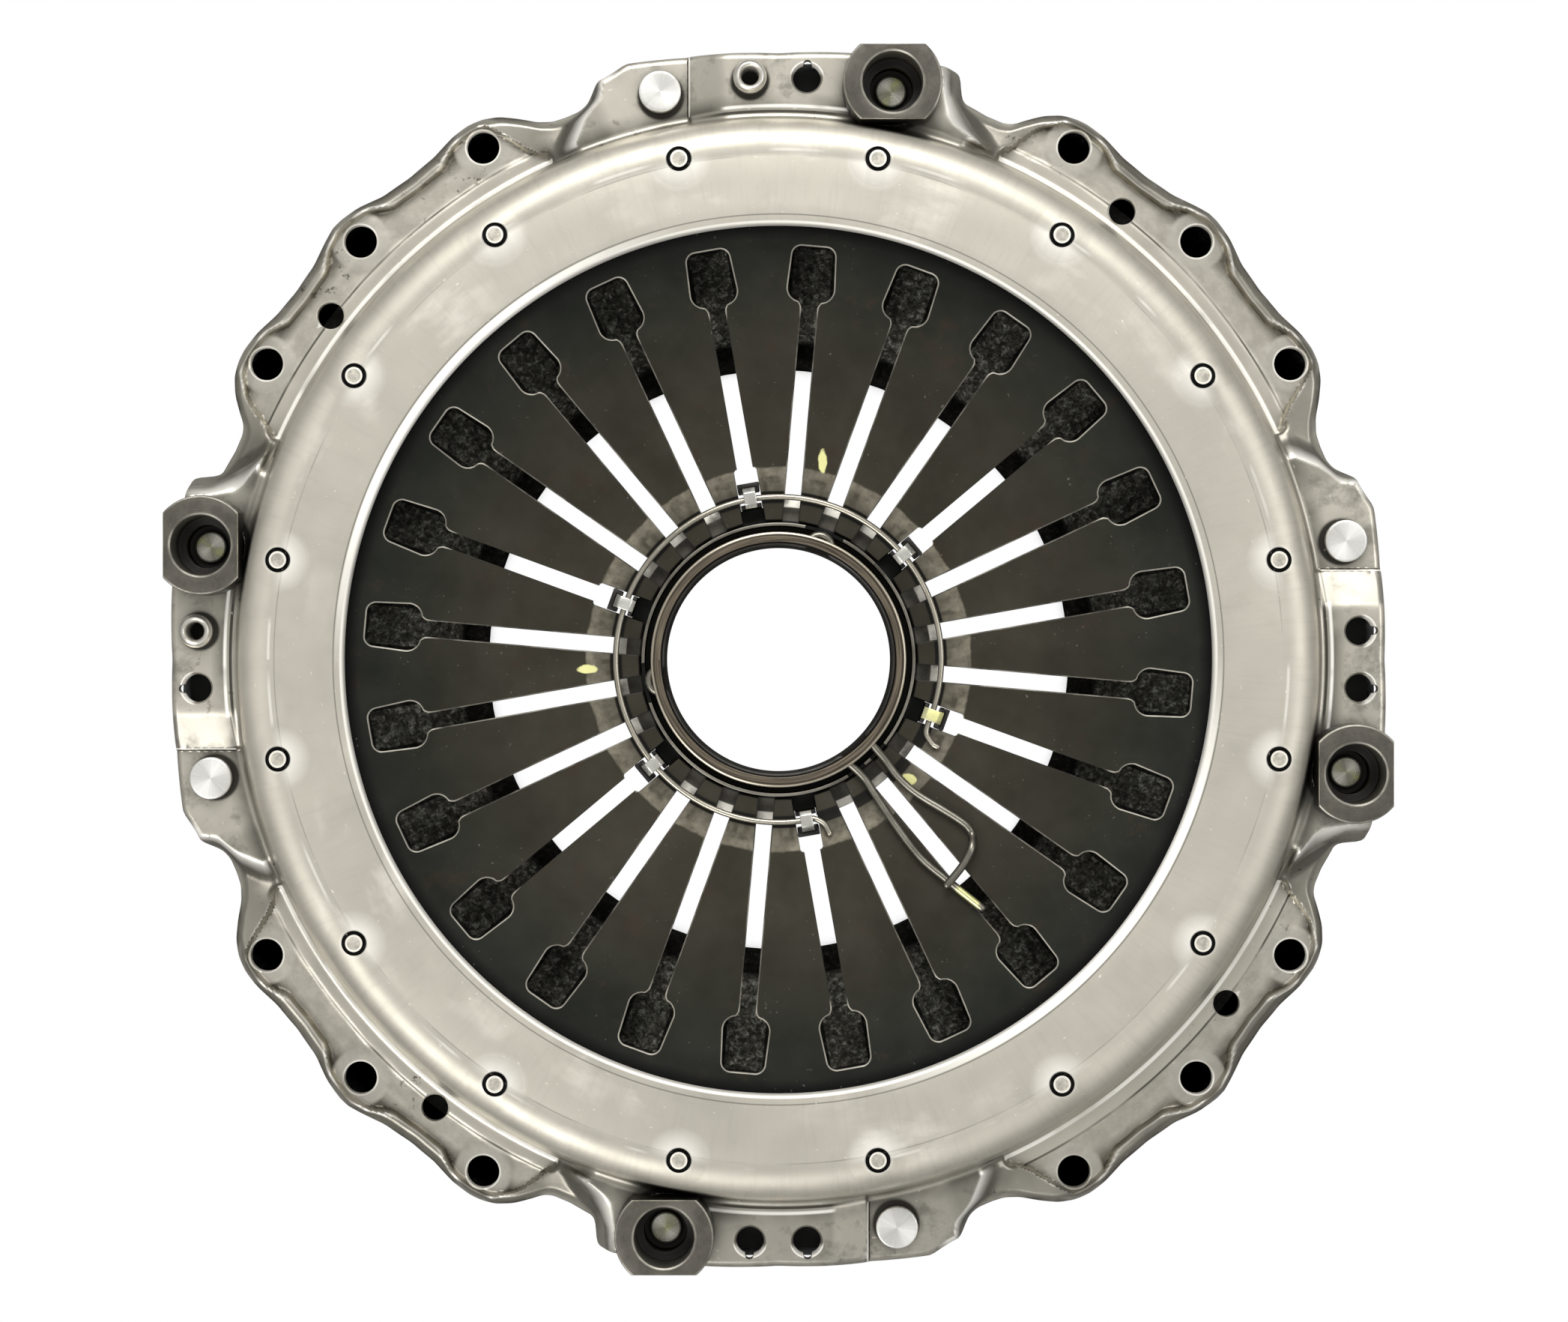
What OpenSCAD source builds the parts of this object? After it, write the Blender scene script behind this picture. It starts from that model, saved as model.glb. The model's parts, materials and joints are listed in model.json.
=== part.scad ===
// Clutch pressure plate for a 430 mm pull-type clutch, seen from the gearbox side.
// The pressure plate's friction face lies on z = 0 and the clutch axis is +Z.
// A station is one of the four places where leaf straps join the plate to the cover.
// In a station's own frame x runs outwards along its centre line and y runs anticlockwise.

/* [Cover housing] */
// Thickness of the pressed steel sheet
sheet = 5; // [4:0.5:6]
// Height of the mounting face above the friction face
mount_z = 22; // [21:0.5:24]
// Height of the dome's top above the friction face
dome_z = 68; // [67:0.5:70]
// Radius of the round opening in the dome
opening_r = 161; // [150:1:170]
// Distance from the bolt circle in to where the flat top turns into the dome's shoulder
shoulder_inset = 35; // [33:0.5:36]
// Outer radius of the shoulder bend
shoulder_bend = 11; // [10:0.5:12]
// Lean of the dome's wall in degrees
wall_lean = 12.3; // [10:0.1:14]
// Radius of the bend at the foot of the wall
foot_bend = 2.5; // [2:0.5:5]
// Chamfer on the edge of the round opening
opening_chamfer = 1.2; // [0.5:0.1:2]

/* [Mounting flange] */
// Radius of the circle that the mounting bolts stand on
bolt_circle_r = 225; // [223:0.5:227]
// Diameter of a mounting bolt hole
bolt_hole_d = 12.4; // [10:0.1:14]
// Angle between neighbouring bolts of one flange segment
bolt_step = 15; // [13:0.5:16]
// Distance from the bolt circle in to the circle of the small holding holes
small_hole_inset = 10; // [8:0.5:11]
// Diameter of a small holding hole
small_hole_d = 10.2; // [6:0.1:11]
// Angle of the first small hole
small_hole_angle = 52.5; // [52:0.1:53]
// How far the flange reaches past the bolt circle between the bosses
flange_margin = 6; // [4:0.5:8]
// How far an outer bolt boss stands out
boss_rise = 3.8; // [2:0.1:5]
// How far the middle bolt boss stands out
middle_boss_rise = 5.2; // [2:0.1:6]
// Angle over which a boss fades into the flange
boss_spread = 6.5; // [5:0.5:7]
// Width of the turned-up rim
rim_w = 3.6; // [2:0.1:5]
// Height of the turned-up rim above the flange
rim_h = 4; // [2:0.5:6]
// Diameter of the flat seat round a bolt hole
bolt_seat_d = 23; // [20:0.5:26]
// Height of the flat seat above the flange
bolt_seat_h = 0.5; // [0.3:0.1:1]
// Radius of the scallop between the flange and a strap station
scallop_r = 27.3; // [25:0.1:29]
// Angle of the scallop's centre from the station's centre line
scallop_angle = 22.87; // [22.5:0.01:23.2]
// Distance of the scallop's centre past the bolt circle
scallop_reach = 24.6; // [23:0.1:26]

/* [Strap stations] */
// Number of strap stations round the cover
stations = 4; // [4:1:4]
// Height of the rivet pad's top above the flange
rivet_pad_rise = 11; // [10:0.5:12]
// Height of the raised pad's top above the rivet pad
raised_pad_rise = 8; // [7:0.5:10]
// How far the pads' straight outer edge lies past the bolt circle's radius
pad_margin = 2.5; // [1.5:0.5:4]
// How far the raised pad's edge steps in beside the stop sleeve
pad_step_in = 4.5; // [3:0.5:6]
// Distance from the bolt circle in to the circle of rivets, studs and station holes
strap_inset = 6.3; // [5:0.1:8]
// Angle of the strap rivet from the station's centre line
rivet_angle = 11.8; // [11:0.1:12.5]
// Angle of the stud from the station's centre line, the other way
stud_angle = 11.2; // [10.5:0.1:12]
// Angle of each balance hole from the station's centre line
balance_angle = 2.8; // [2.5:0.1:3.2]
// Diameter of a balance hole
balance_hole_d = 10.5; // [9:0.1:11]
// Width of the small notch in a balance hole
notch_w = 3; // [2:0.1:4]
// Where the ramp leaves the raised pad
ramp_top = 21; // [20:0.5:23]
// Where the ramp meets the rivet pad
ramp_foot = 33.5; // [32:0.5:34.5]
// Height of the sharp step at the ramp's foot
ramp_step = 2.3; // [1:0.1:3]
// Angle where the raised pad ends
raised_end = 21; // [20:0.1:22]
// Angle where the rivet pad ends
rivet_end = 19.5; // [19:0.1:20.5]
// Distance of the rivet pad's far corner from the station's centre line
pad_corner = 58.5; // [57:0.5:60]
// How far the raised pad's curled wing turns round its scallop, in degrees
raised_wing_turn = 56; // [50:1:58]
// How far the rivet pad's curled wing turns round its scallop, in degrees
rivet_wing_turn = 50; // [45:1:52]
// Width of a wing's sloping face
wing_run = 3; // [2:0.5:4]

/* [Leaf straps] */
// Thickness of one leaf
leaf_t = 1.2; // [0.8:0.1:1.5]
// Leaves in one pack
leaves = 3; // [3:1:3]
// Width of a leaf
leaf_w = 19; // [17:0.5:20]
// Diameter of the strap rivet's shank
rivet_d = 10; // [8:0.1:11]
// Diameter of the strap rivet's heads
rivet_head_d = 15.8; // [14:0.1:18]
// Height of the strap rivet's upper head
rivet_head_h = 4; // [2:0.1:5]
// Height of the strap rivet's lower head
rivet_tail_h = 3; // [2:0.1:4]

/* [Stop sleeves] */
// Diameter of a sleeve's round head
sleeve_head_d = 37; // [35:0.5:39]
// Distance across the two flats of the head
sleeve_flats = 27.9; // [26:0.1:30]
// Height of the head above the raised pad
sleeve_head_h = 18.8; // [16:0.1:20]
// Diameter of the neck that passes through the cover
sleeve_neck_d = 25; // [24:0.5:26]
// Gap round the neck in the cover
neck_gap = 1.5; // [1:0.1:2]
// Diameter of the sleeve's wide bore
sleeve_bore_d = 22; // [20:0.1:23]
// Diameter of the sleeve's lower bore
sleeve_low_bore_d = 16.4; // [14:0.1:18]
// Height of the lower bore's shoulder above the sleeve's foot
sleeve_shoulder = 13.2; // [10:0.1:14]
// Thickness of the sleeve's floor
sleeve_floor = 2.6; // [2:0.1:4]
// Gap under the head at rest
head_gap = 0.2; // [0.1:0.05:0.5]
// Chamfer on the head's edges
sleeve_chamfer = 0.8; // [0.4:0.1:1.5]
// Diameter of the stud's shank
stud_d = 10; // [8:0.1:11]
// Diameter of the stud's flat head
stud_head_d = 12; // [11.5:0.1:13.5]
// Height of the stud's head
stud_head_h = 2.4; // [2:0.1:4]
// How deep the stud stands in the plate's lug
stud_depth = 14; // [10:0.5:15]
// Height of the slope under the head that keeps it clear of the dome
head_relief_h = 5; // [4:0.5:6]
// Depth of that slope
head_relief = 1.6; // [1.4:0.1:2]
// Play round rivets and studs in their holes
shank_gap = 0.1; // [0.05:0.01:0.2]

/* [Balance rivets] */
// Diameter of the rolled head
balance_head_d = 12.6; // [12:0.1:14]
// Diameter of the rivet's bore
balance_bore_d = 6.6; // [5:0.1:7]
// Height of the rivet above the pad
balance_h = 6.5; // [4:0.1:8]

/* [Fulcrum] */
// Number of headed pins round the dome
pins = 16; // [12:1:20]
// Distance from the shoulder's start in to the circle that the pins stand on
pin_inset = 0.9; // [0:0.1:2]
// Diameter of a pin's head
pin_head_d = 7.1; // [6:0.1:8]
// Diameter of the pocket round a pin's head
pin_pocket_d = 9.3; // [9:0.1:10]
// Depth of the pocket round a pin's head
pin_pocket_depth = 3; // [1:0.1:3.5]
// Diameter of a pin's lower shank
pin_shank_d = 4; // [3:0.1:4.5]
// Width of the fulcrum ring
fulcrum_w = 7; // [6:0.1:8]
// Height of the fulcrum ring
fulcrum_h = 5.6; // [5:0.1:6]

/* [Diaphragm spring] */
// Thickness of the spring
spring_t = 5; // [4:0.1:6]
// Slope of the spring's cone in degrees
spring_slope = 7; // [6:0.1:8]
// How far the spring reaches past the pins' circle
spring_margin = 4.9; // [4:0.1:5.4]
// Number of fingers
fingers = 24; // [24:1:24]
// Angle of the first slot
slot_angle = 10; // [9:0.1:11]
// Width of a slot
slot_w = 6; // [4:0.1:7]
// Width of the slots that take a clip
clip_slot_w = 8.6; // [8:0.1:10]
// Length of the wide part of a clip's slot
clip_slot_l = 20.5; // [17:0.5:24]
// Inner radius of a slot's window
window_in_r = 134; // [130:0.5:138]
// Outer radius of a slot's window
window_out_r = 155; // [150:0.5:158]
// Width of a slot's window
window_w = 17.4; // [14:0.1:19]
// Radius of a window's rounded shoulders beside the slot
window_shoulder = 5; // [4:0.5:6]
// Radius of a window's outer corners
window_corner = 3.5; // [2.5:0.5:4.5]
// Gap between the spring and what it bears on
bearing_gap = 0.3; // [0.1:0.05:0.5]

/* [Pressure plate] */
// Distance from the bolt circle in to the friction face's outer edge
plate_inset = 9; // [8:0.5:10]
// Inner radius of the friction face
plate_in_r = 112; // [108:0.5:116]
// Thickness of the plate's rim
plate_rim_h = 18; // [16:0.5:19]
// Height of the plate's body
plate_body_h = 26; // [24:0.5:27]
// Gap between the plate's body and the cover's wall
plate_body_gap = 2.9; // [2.5:0.1:6]
// Width of the step at the plate's inner edge
inner_step_w = 9; // [7:0.5:12]
// Height of the step at the plate's inner edge
inner_step_h = 12; // [8:0.5:14]
// Distance from the pins' circle in to the ridge that the spring presses on
ridge_inset = 17.1; // [15:0.1:19]
// Width of the ridge
ridge_w = 12; // [8:0.5:14]
// Height of an air gap's floor above the plate's body
ridge_gap_floor = 6; // [4:0.5:8]
// Number of air gaps in the ridge
ridge_gaps = 16; // [8:1:20]
// Width of an air gap in the ridge
ridge_gap_w = 14; // [8:0.5:18]
// Radius of a lug's round end
lug_r = 12.5; // [11:0.5:13]
// How far a lug's web reaches into the plate's body
lug_web = 16; // [12:0.5:20]

/* [Release ring] */
// Bore radius of the thrust ring, which the release bearing's sleeve enters
thrust_in_r = 42.4; // [40:0.1:44]
// How much wider the top band's bore is than the thrust ring's bore
band_relief = 1.4; // [1.1:0.1:2]
// Width of the thrust ring's head
thrust_w = 5.7; // [5:0.1:6.5]
// Height of the thrust ring's head above the flange
thrust_h = 10.5; // [9:0.1:12]
// Wall of the thrust ring's spigot
spigot_t = 2.5; // [2:0.1:3]
// Length of the spigot below the head
spigot_h = 9; // [6:0.5:10]
// Play between the spigot and the release ring
spigot_gap = 0.1; // [0.05:0.01:0.2]
// Width of the groove between the thrust ring and the lip
lip_groove = 2.3; // [1.5:0.1:3]
// Thickness of the lip
lip_t = 1.3; // [1:0.1:1.8]
// Height of the lip above its flange
lip_h = 7; // [6:0.1:8]
// Gap between the lip and the finger tips
tip_gap = 0.8; // [0.5:0.1:1.5]
// How far the ring's flange reaches under the fingers
ring_flange_reach = 8.3; // [7.8:0.1:8.6]
// Thickness of that flange
ring_flange_t = 4; // [3:0.5:6]

/* [Wires and clips] */
// Distance of the retaining wire's centre from the finger tips
wire_ring_reach = 8.8; // [8.3:0.1:9.3]
// Diameter of the retaining wire
wire_d = 2.2; // [1.8:0.1:2.4]
// Number of hook clips
clips = 6; // [6:1:6]
// Angle of the first clip's slot
clip_angle = 40; // [39:0.1:41]
// Width of a hook clip's saddle
clip_w = 5.6; // [4:0.1:6.5]
// Width of a hook clip's feet, which lie in the slot
clip_foot_w = 7.8; // [7:0.1:7.9]
// Depth of the notch in the ring's flange that takes a hook clip
clip_notch = 3.3; // [2.8:0.1:3.6]
// Play of a hook clip in its notch, on each side
clip_play = 0.3; // [0.2:0.05:0.4]
// How far a hook clip's outer leg stands from the wire's centre
clip_reach = 2.6; // [2:0.1:3]
// Length of a hook clip's outer foot
clip_foot_l = 2; // [1:0.1:3]
// Thickness of a hook clip
clip_t = 1.6; // [1.2:0.1:2]
// Diameter of the snap ring's wire
snap_d = 3; // [2.6:0.1:3.2]
// Height of the snap ring above the flange
snap_z = 7.4; // [7:0.1:8]

/* [Hidden] */
strap_nodes = [for (k = [1:stations]) for (level = ["lower", "middle", "upper"]) str("strap_", k, "_", level)];
sleeve_nodes = [for (k = [1:stations]) str("stop_sleeve_", k)];

$fn = 96;
// Small overlap that joins pressed forms within the sheet
joint = 0.5;
// Overshoot of a cut past a face
past = 1;
// Small offset that keeps joined forms from meeting in exactly one plane
nudge = 0.02;

// Radii that follow from the bolt circle
shoulder_start_r = bolt_circle_r - shoulder_inset;
small_hole_circle_r = bolt_circle_r - small_hole_inset;
flange_r = bolt_circle_r + flange_margin;
pad_edge = bolt_circle_r + pad_margin;
strap_circle_r = bolt_circle_r - strap_inset;
plate_r = bolt_circle_r - plate_inset;
pin_circle_r = shoulder_start_r - pin_inset;
spring_r = pin_circle_r + spring_margin;
ridge_r = pin_circle_r - ridge_inset;
inner_step_r = plate_in_r + inner_step_w;
scallop_out = (bolt_circle_r + scallop_reach) * cos(scallop_angle);
scallop_side = (bolt_circle_r + scallop_reach) * sin(scallop_angle);

// Radii that follow from the release bearing's bore
band_in_r = thrust_in_r + band_relief;
thrust_r = thrust_in_r + thrust_w;
spigot_r = thrust_in_r + spigot_t;
ring_in_r = spigot_r + spigot_gap;
lip_r = thrust_r + lip_groove + lip_t;
tip_r = lip_r + tip_gap;
ring_flange_r = tip_r + ring_flange_reach;
clip_seat_r = ring_flange_r - clip_notch;
wire_ring_r = tip_r + wire_ring_reach;
clip_slot_r = tip_r + clip_slot_l;

// Heights
flange_top = mount_z + sheet;
rivet_pad_top = flange_top + rivet_pad_rise;
raised_pad_top = rivet_pad_top + raised_pad_rise;
strap_top = rivet_pad_top - sheet;
lug_top = strap_top - leaves * leaf_t;
spring_lean = tan(spring_slope);
spring_drop = spring_t / cos(spring_slope);
ring_nose_z = dome_z - sheet - bearing_gap - fulcrum_h;
nose_r = fulcrum_w / 2;
function spring_top(r) = ring_nose_z - bearing_gap - (pin_circle_r - r) * spring_lean;
function spring_bottom(r) = spring_top(r) - spring_drop;
ring_flange_top = spring_bottom(tip_r) - bearing_gap;

// Dome section
shoulder_z = dome_z - shoulder_bend;
function wall_r(z, bend) = shoulder_start_r + bend * cos(wall_lean)
  + (shoulder_z + bend * sin(wall_lean) - z) * tan(wall_lean);
foot_r = wall_r(flange_top, shoulder_bend);
inner_bend = shoulder_bend - sheet;
segment_in_r = (foot_r + wall_r(mount_z, inner_bend)) / 2;
plate_body_r = wall_r(plate_body_h, inner_bend) - plate_body_gap;

// Angles of one flange segment, counted from the station before it
segment_angles = [45 - bolt_step, 45, 45 + bolt_step];
quarter = 360 / stations;
fine = 1.5;
// Angle where the ramp's foot meets the dome, and the end walls' thickness as an angle
ramp_angle = atan2(ramp_foot, pad_edge - 2 * sheet) - 0.5;
end_wall_turn = 1.5;
end_wall_reach = 6.7;
wing_crest_r = scallop_r + sheet + wing_run;
// Direction, seen from the scallop's centre, in which a wing starts at the pad's edge
wing_start = 94;

function arc(x, y, r, from, to, steps) =
  [for (i = [0:steps]) let (a = from + (to - from) * i / steps) [x + r * cos(a), y + r * sin(a)]];
function polar(r, a) = [r * cos(a), r * sin(a)];
function boss(a, centre, rise) =
  abs(a - centre) < boss_spread ? rise * pow(cos(90 * (a - centre) / boss_spread), 2) : 0;
function outline_r(a) = flange_r + boss(a, segment_angles[0], boss_rise)
  + boss(a, segment_angles[1], middle_boss_rise) + boss(a, segment_angles[2], boss_rise);

// One module call for each station, turned to its place
module at_stations() {
  for (k = [0:stations - 1]) rotate(k * quarter) children();
}

// Stretches a side profile, drawn as distance along the tangent and height, outwards
module along_radius(from, to) {
  translate([from, 0, 0]) rotate([90, 0, 90]) linear_extrude(to - from) children();
}

// A round tube along a path of points that stays close to level
module wire(path, d, sides = 8) {
  n = len(path);
  rings = [for (i = [0:n - 1])
    let (before = path[max(i - 1, 0)], after = path[min(i + 1, n - 1)],
      ahead = (after - before) / norm(after - before),
      side = cross(ahead, [0, 0, 1]) / norm(cross(ahead, [0, 0, 1])), up = cross(side, ahead))
    for (j = [0:sides - 1]) let (a = 360 * (j + 0.5) / sides)
      path[i] + (side * cos(a) + up * sin(a)) * d / 2];
  walls = [for (i = [0:n - 2]) for (j = [0:sides - 1]) let (k = (j + 1) % sides)
    [i * sides + j, (i + 1) * sides + j, (i + 1) * sides + k, i * sides + k]];
  first_end = [for (j = [0:sides - 1]) j];
  last_end = [for (j = [sides - 1:-1:0]) (n - 1) * sides + j];
  polyhedron(rings, concat([first_end, last_end], walls));
}

// Dome, shoulder, wall and its bend at the foot, as one revolved section
module dome_shell() {
  foot_z = flange_top + foot_bend;
  foot_x = wall_r(foot_z, shoulder_bend) + foot_bend / cos(wall_lean)
    - foot_bend * sin(wall_lean) * tan(wall_lean);
  difference() {
    rotate_extrude() polygon(concat(
      [[opening_r, dome_z - sheet], [opening_r, dome_z - opening_chamfer],
       [opening_r + opening_chamfer, dome_z]],
      arc(shoulder_start_r, shoulder_z, shoulder_bend, 90, wall_lean, 6),
      arc(foot_x, foot_z, foot_bend, 180 + wall_lean, 270, 4),
      [[foot_x + joint, flange_top], [foot_x + joint, mount_z], [wall_r(mount_z, inner_bend), mount_z]],
      arc(shoulder_start_r, shoulder_z, inner_bend, wall_lean, 90, 5)));
    at_stations() {
      sector_cut(-raised_end + end_wall_turn / 2, ramp_angle + past, raised_pad_top - sheet);
      sector_cut(ramp_angle, rivet_end - end_wall_turn / 2, rivet_pad_top - sheet);
    }
  }
}

// Opens the wall under a pad between two angles, from below up to a height
module sector_cut(from, to, height) {
  inner = shoulder_start_r - past;
  outer = foot_r + 3 * foot_bend;
  linear_extrude(height) polygon(concat(
    [for (i = [0:6]) polar(inner, from + (to - from) * i / 6)],
    [for (i = [6:-1:0]) polar(outer, from + (to - from) * i / 6)]));
}

// Plan of a flange segment as a block; inset draws its edges in, and spare widens its open sides
module segment_block(inset, spare, bottom, top) {
  from = rivet_end - spare;
  to = quarter - raised_end + spare;
  steps = ceil((to - from) / fine);
  angles = [for (i = [0:steps]) from + (to - from) * i / steps];
  back = [for (i = [steps:-1:0]) angles[i]];
  difference() {
    translate([0, 0, bottom]) linear_extrude(top - bottom) polygon(concat(
      [for (a = angles) polar(outline_r(a) - inset, a)], [for (a = back) polar(segment_in_r - 2 * spare, a)]));
    scallop(1, scallop_r + inset);
    rotate(quarter) scallop(-1, scallop_r + inset);
  }
}

// The scallop beside a station; side is 1 for the rivet end and -1 for the stud end
module scallop(side, radius) {
  translate([scallop_out, side * scallop_side, mount_z - past]) cylinder(r = radius, h = dome_z);
}

// Flat flange between two stations, with its turned-up rim and the bolts' seats
module flange_segment() {
  difference() {
    segment_block(0, 0, mount_z, flange_top + rim_h);
    segment_block(rim_w, past, flange_top, flange_top + rim_h + past);
  }
  for (a = segment_angles) translate(polar(bolt_circle_r, a))
    translate([0, 0, flange_top - joint]) cylinder(d = bolt_seat_d - rim_w, h = bolt_seat_h + joint);
}

// Curled wall that climbs from the scallop's edge to a pad
module wing(side, pad_top, turn_from, turn) {
  top = pad_top - nudge;
  under = pad_top - sheet + nudge;
  bottom = mount_z + nudge;
  inner = scallop_r + nudge;
  section = concat([[wing_crest_r + 2, under], [wing_crest_r + 2, top]],
    arc(wing_crest_r, top - sheet, sheet, 90, 170, 4),
    [[inner + 2.4, flange_top + 3.4], [inner, flange_top + 2], [inner, bottom],
     [inner + sheet, bottom], [inner + sheet + 1.3, flange_top - past]]);
  translate([scallop_out, side * scallop_side, 0]) rotate(turn_from)
    rotate_extrude(angle = turn) polygon(section);
}

// Upright end wall between a pad's end and the flange beside it
module end_wall(angle, pad_top) {
  outer = foot_r + end_wall_reach;
  bottom = mount_z + nudge;
  top = pad_top - nudge;
  rotate(angle) rotate_extrude(angle = end_wall_turn) polygon([
    [wall_r(mount_z, inner_bend) + joint, bottom], [outer, bottom], [outer - 1.5, top],
    [wall_r(top, inner_bend) + joint, top]]);
}

// Raised pad, ramp, rivet pad and wings of one station
module station() {
  raised_in_r = wall_r(raised_pad_top, shoulder_bend) - sheet / 2;
  rivet_in_r = wall_r(rivet_pad_top, shoulder_bend) - sheet / 2;
  difference() {
    union() {
      translate([0, 0, raised_pad_top - sheet]) linear_extrude(sheet) polygon(concat(
        [[pad_edge, ramp_top], [pad_edge, -scallop_side + 2.4 * scallop_r],
         [pad_edge - pad_step_in, -scallop_side + scallop_r + wing_run + sheet],
         [pad_edge - pad_step_in, -scallop_side + scallop_r + joint]],
        [for (i = [0:14]) polar(raised_in_r, -raised_end + (raised_end + 6) * i / 14)]));
      difference() {
        translate([0, 0, rivet_pad_top - sheet]) linear_extrude(sheet) polygon(concat(
          [[pad_edge - 2.2, pad_corner], [pad_edge - 1.1, ramp_foot - joint]],
          [for (i = [0:8]) polar(rivet_in_r, 8 + (rivet_end - 8) * i / 8)],
          [for (p = [[10, 10.5], [8, 6.5], [5, 2.5]]) [pad_edge - p[0], pad_corner + p[1]]]));
        translate([scallop_out, scallop_side, rivet_pad_top - sheet - past])
          cylinder(r = wing_crest_r + joint, h = sheet + 2 * past);
      }
    }
    translate([scallop_out, -scallop_side, raised_pad_top - sheet - past])
      cylinder(r = wing_crest_r + joint, h = sheet + 2 * past);
  }
  along_radius(raised_in_r, pad_edge - 0.6) polygon([
    [ramp_top - joint, raised_pad_top], [ramp_top, raised_pad_top],
    [ramp_foot, rivet_pad_top + ramp_step], [ramp_foot, rivet_pad_top - sheet],
    [ramp_foot - sheet / 2, rivet_pad_top - sheet], [ramp_top, raised_pad_top - sheet],
    [ramp_top - joint, raised_pad_top - sheet]]);
  wing(-1, raised_pad_top, wing_start, raised_wing_turn);
  wing(1, rivet_pad_top, -wing_start - rivet_wing_turn, rivet_wing_turn);
  end_wall(-raised_end - joint, raised_pad_top);
  end_wall(rivet_end - end_wall_turn + joint, rivet_pad_top);
}

// Pressed steel housing with every hole drilled through it
module cover_housing() {
  color("silver") difference() {
    union() {
      dome_shell();
      at_stations() {
        station();
        flange_segment();
      }
    }
    at_stations() {
      for (a = segment_angles) translate(polar(bolt_circle_r, a))
        cylinder(d = bolt_hole_d, h = dome_z);
      translate(polar(small_hole_circle_r, small_hole_angle)) cylinder(d = small_hole_d, h = dome_z);
      translate(polar(strap_circle_r, rivet_angle)) cylinder(d = rivet_d + 2 * shank_gap, h = dome_z);
      translate(polar(strap_circle_r, -stud_angle))
        cylinder(d = sleeve_neck_d + 2 * neck_gap, h = dome_z);
      for (a = [-balance_angle, balance_angle]) rotate(a) {
        translate([strap_circle_r, 0, 0]) cylinder(d = balance_hole_d, h = dome_z);
        translate([strap_circle_r, -notch_w / 2, 0]) cube([balance_hole_d / 2 + 1.2, notch_w, dome_z]);
      }
    }
    for (i = [0:pins - 1]) rotate((i + 0.5) * 360 / pins) translate([pin_circle_r, 0, 0]) {
      translate([0, 0, mount_z]) cylinder(d = pin_head_d + 2 * shank_gap, h = dome_z);
      translate([0, 0, dome_z - pin_pocket_depth]) cylinder(d = pin_pocket_d, h = dome_z);
    }
  }
}

// Round-nosed ring under the dome that the spring pivots on
module fulcrum_ring() {
  top = dome_z - sheet - bearing_gap;
  left = pin_circle_r - nose_r;
  color("dimgray") difference() {
    rotate_extrude() polygon(concat(
      [[left, top]], arc(pin_circle_r, ring_nose_z + nose_r, nose_r, 180, 360, 10),
      [[left + fulcrum_w, top - 2], [left + fulcrum_w - 2, top]]));
    for (i = [0:pins - 1]) rotate((i + 0.5) * 360 / pins) translate([pin_circle_r, 0, ring_nose_z + sheet / 2])
      cylinder(d = pin_shank_d + 2 * shank_gap, h = dome_z);
  }
}

// Headed pins, staked level with the dome, that carry the fulcrum ring
module fulcrum_pins() {
  color("lightgray") for (i = [0:pins - 1]) rotate((i + 0.5) * 360 / pins) translate([pin_circle_r, 0, 0]) {
    translate([0, 0, dome_z - sheet]) cylinder(d = pin_head_d, h = sheet);
    translate([0, 0, ring_nose_z + sheet / 2 + shank_gap]) cylinder(d = pin_shank_d, h = sheet);
  }
}

// Plan of one slot with its spade-shaped window
module slot_plan() {
  half = window_w / 2;
  slot_half = slot_w / 2;
  taper = 0.6;
  upper = concat(
    [[tip_r - 2 * past, slot_half], [window_in_r - 2.4, slot_half], [window_in_r - 0.6, slot_half + 0.5]],
    arc(window_in_r + window_shoulder + 0.5, half - window_shoulder, window_shoulder, 170, 90, 5),
    arc(window_out_r - window_corner, half - window_corner - taper, window_corner, 90, 0, 4));
  lower = [for (i = [len(upper) - 1:-1:0]) [upper[i][0], -upper[i][1]]];
  polygon(concat(upper, lower));
}

// Sprung steel cone with slots between its fingers
module diaphragm_spring() {
  color("dimgray") difference() {
    rotate_extrude() polygon([
      [tip_r, spring_bottom(tip_r)], [spring_r, spring_bottom(spring_r)],
      [spring_r, spring_top(spring_r)], [tip_r, spring_top(tip_r)]]);
    for (i = [0:fingers - 1]) rotate(slot_angle + i * 360 / fingers)
      linear_extrude(dome_z) slot_plan();
    for (i = [0:clips - 1]) rotate(clip_angle + i * 360 / clips)
      translate([tip_r - past, -clip_slot_w / 2, 0]) cube([clip_slot_r - tip_r + past, clip_slot_w, dome_z]);
  }
}

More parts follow.
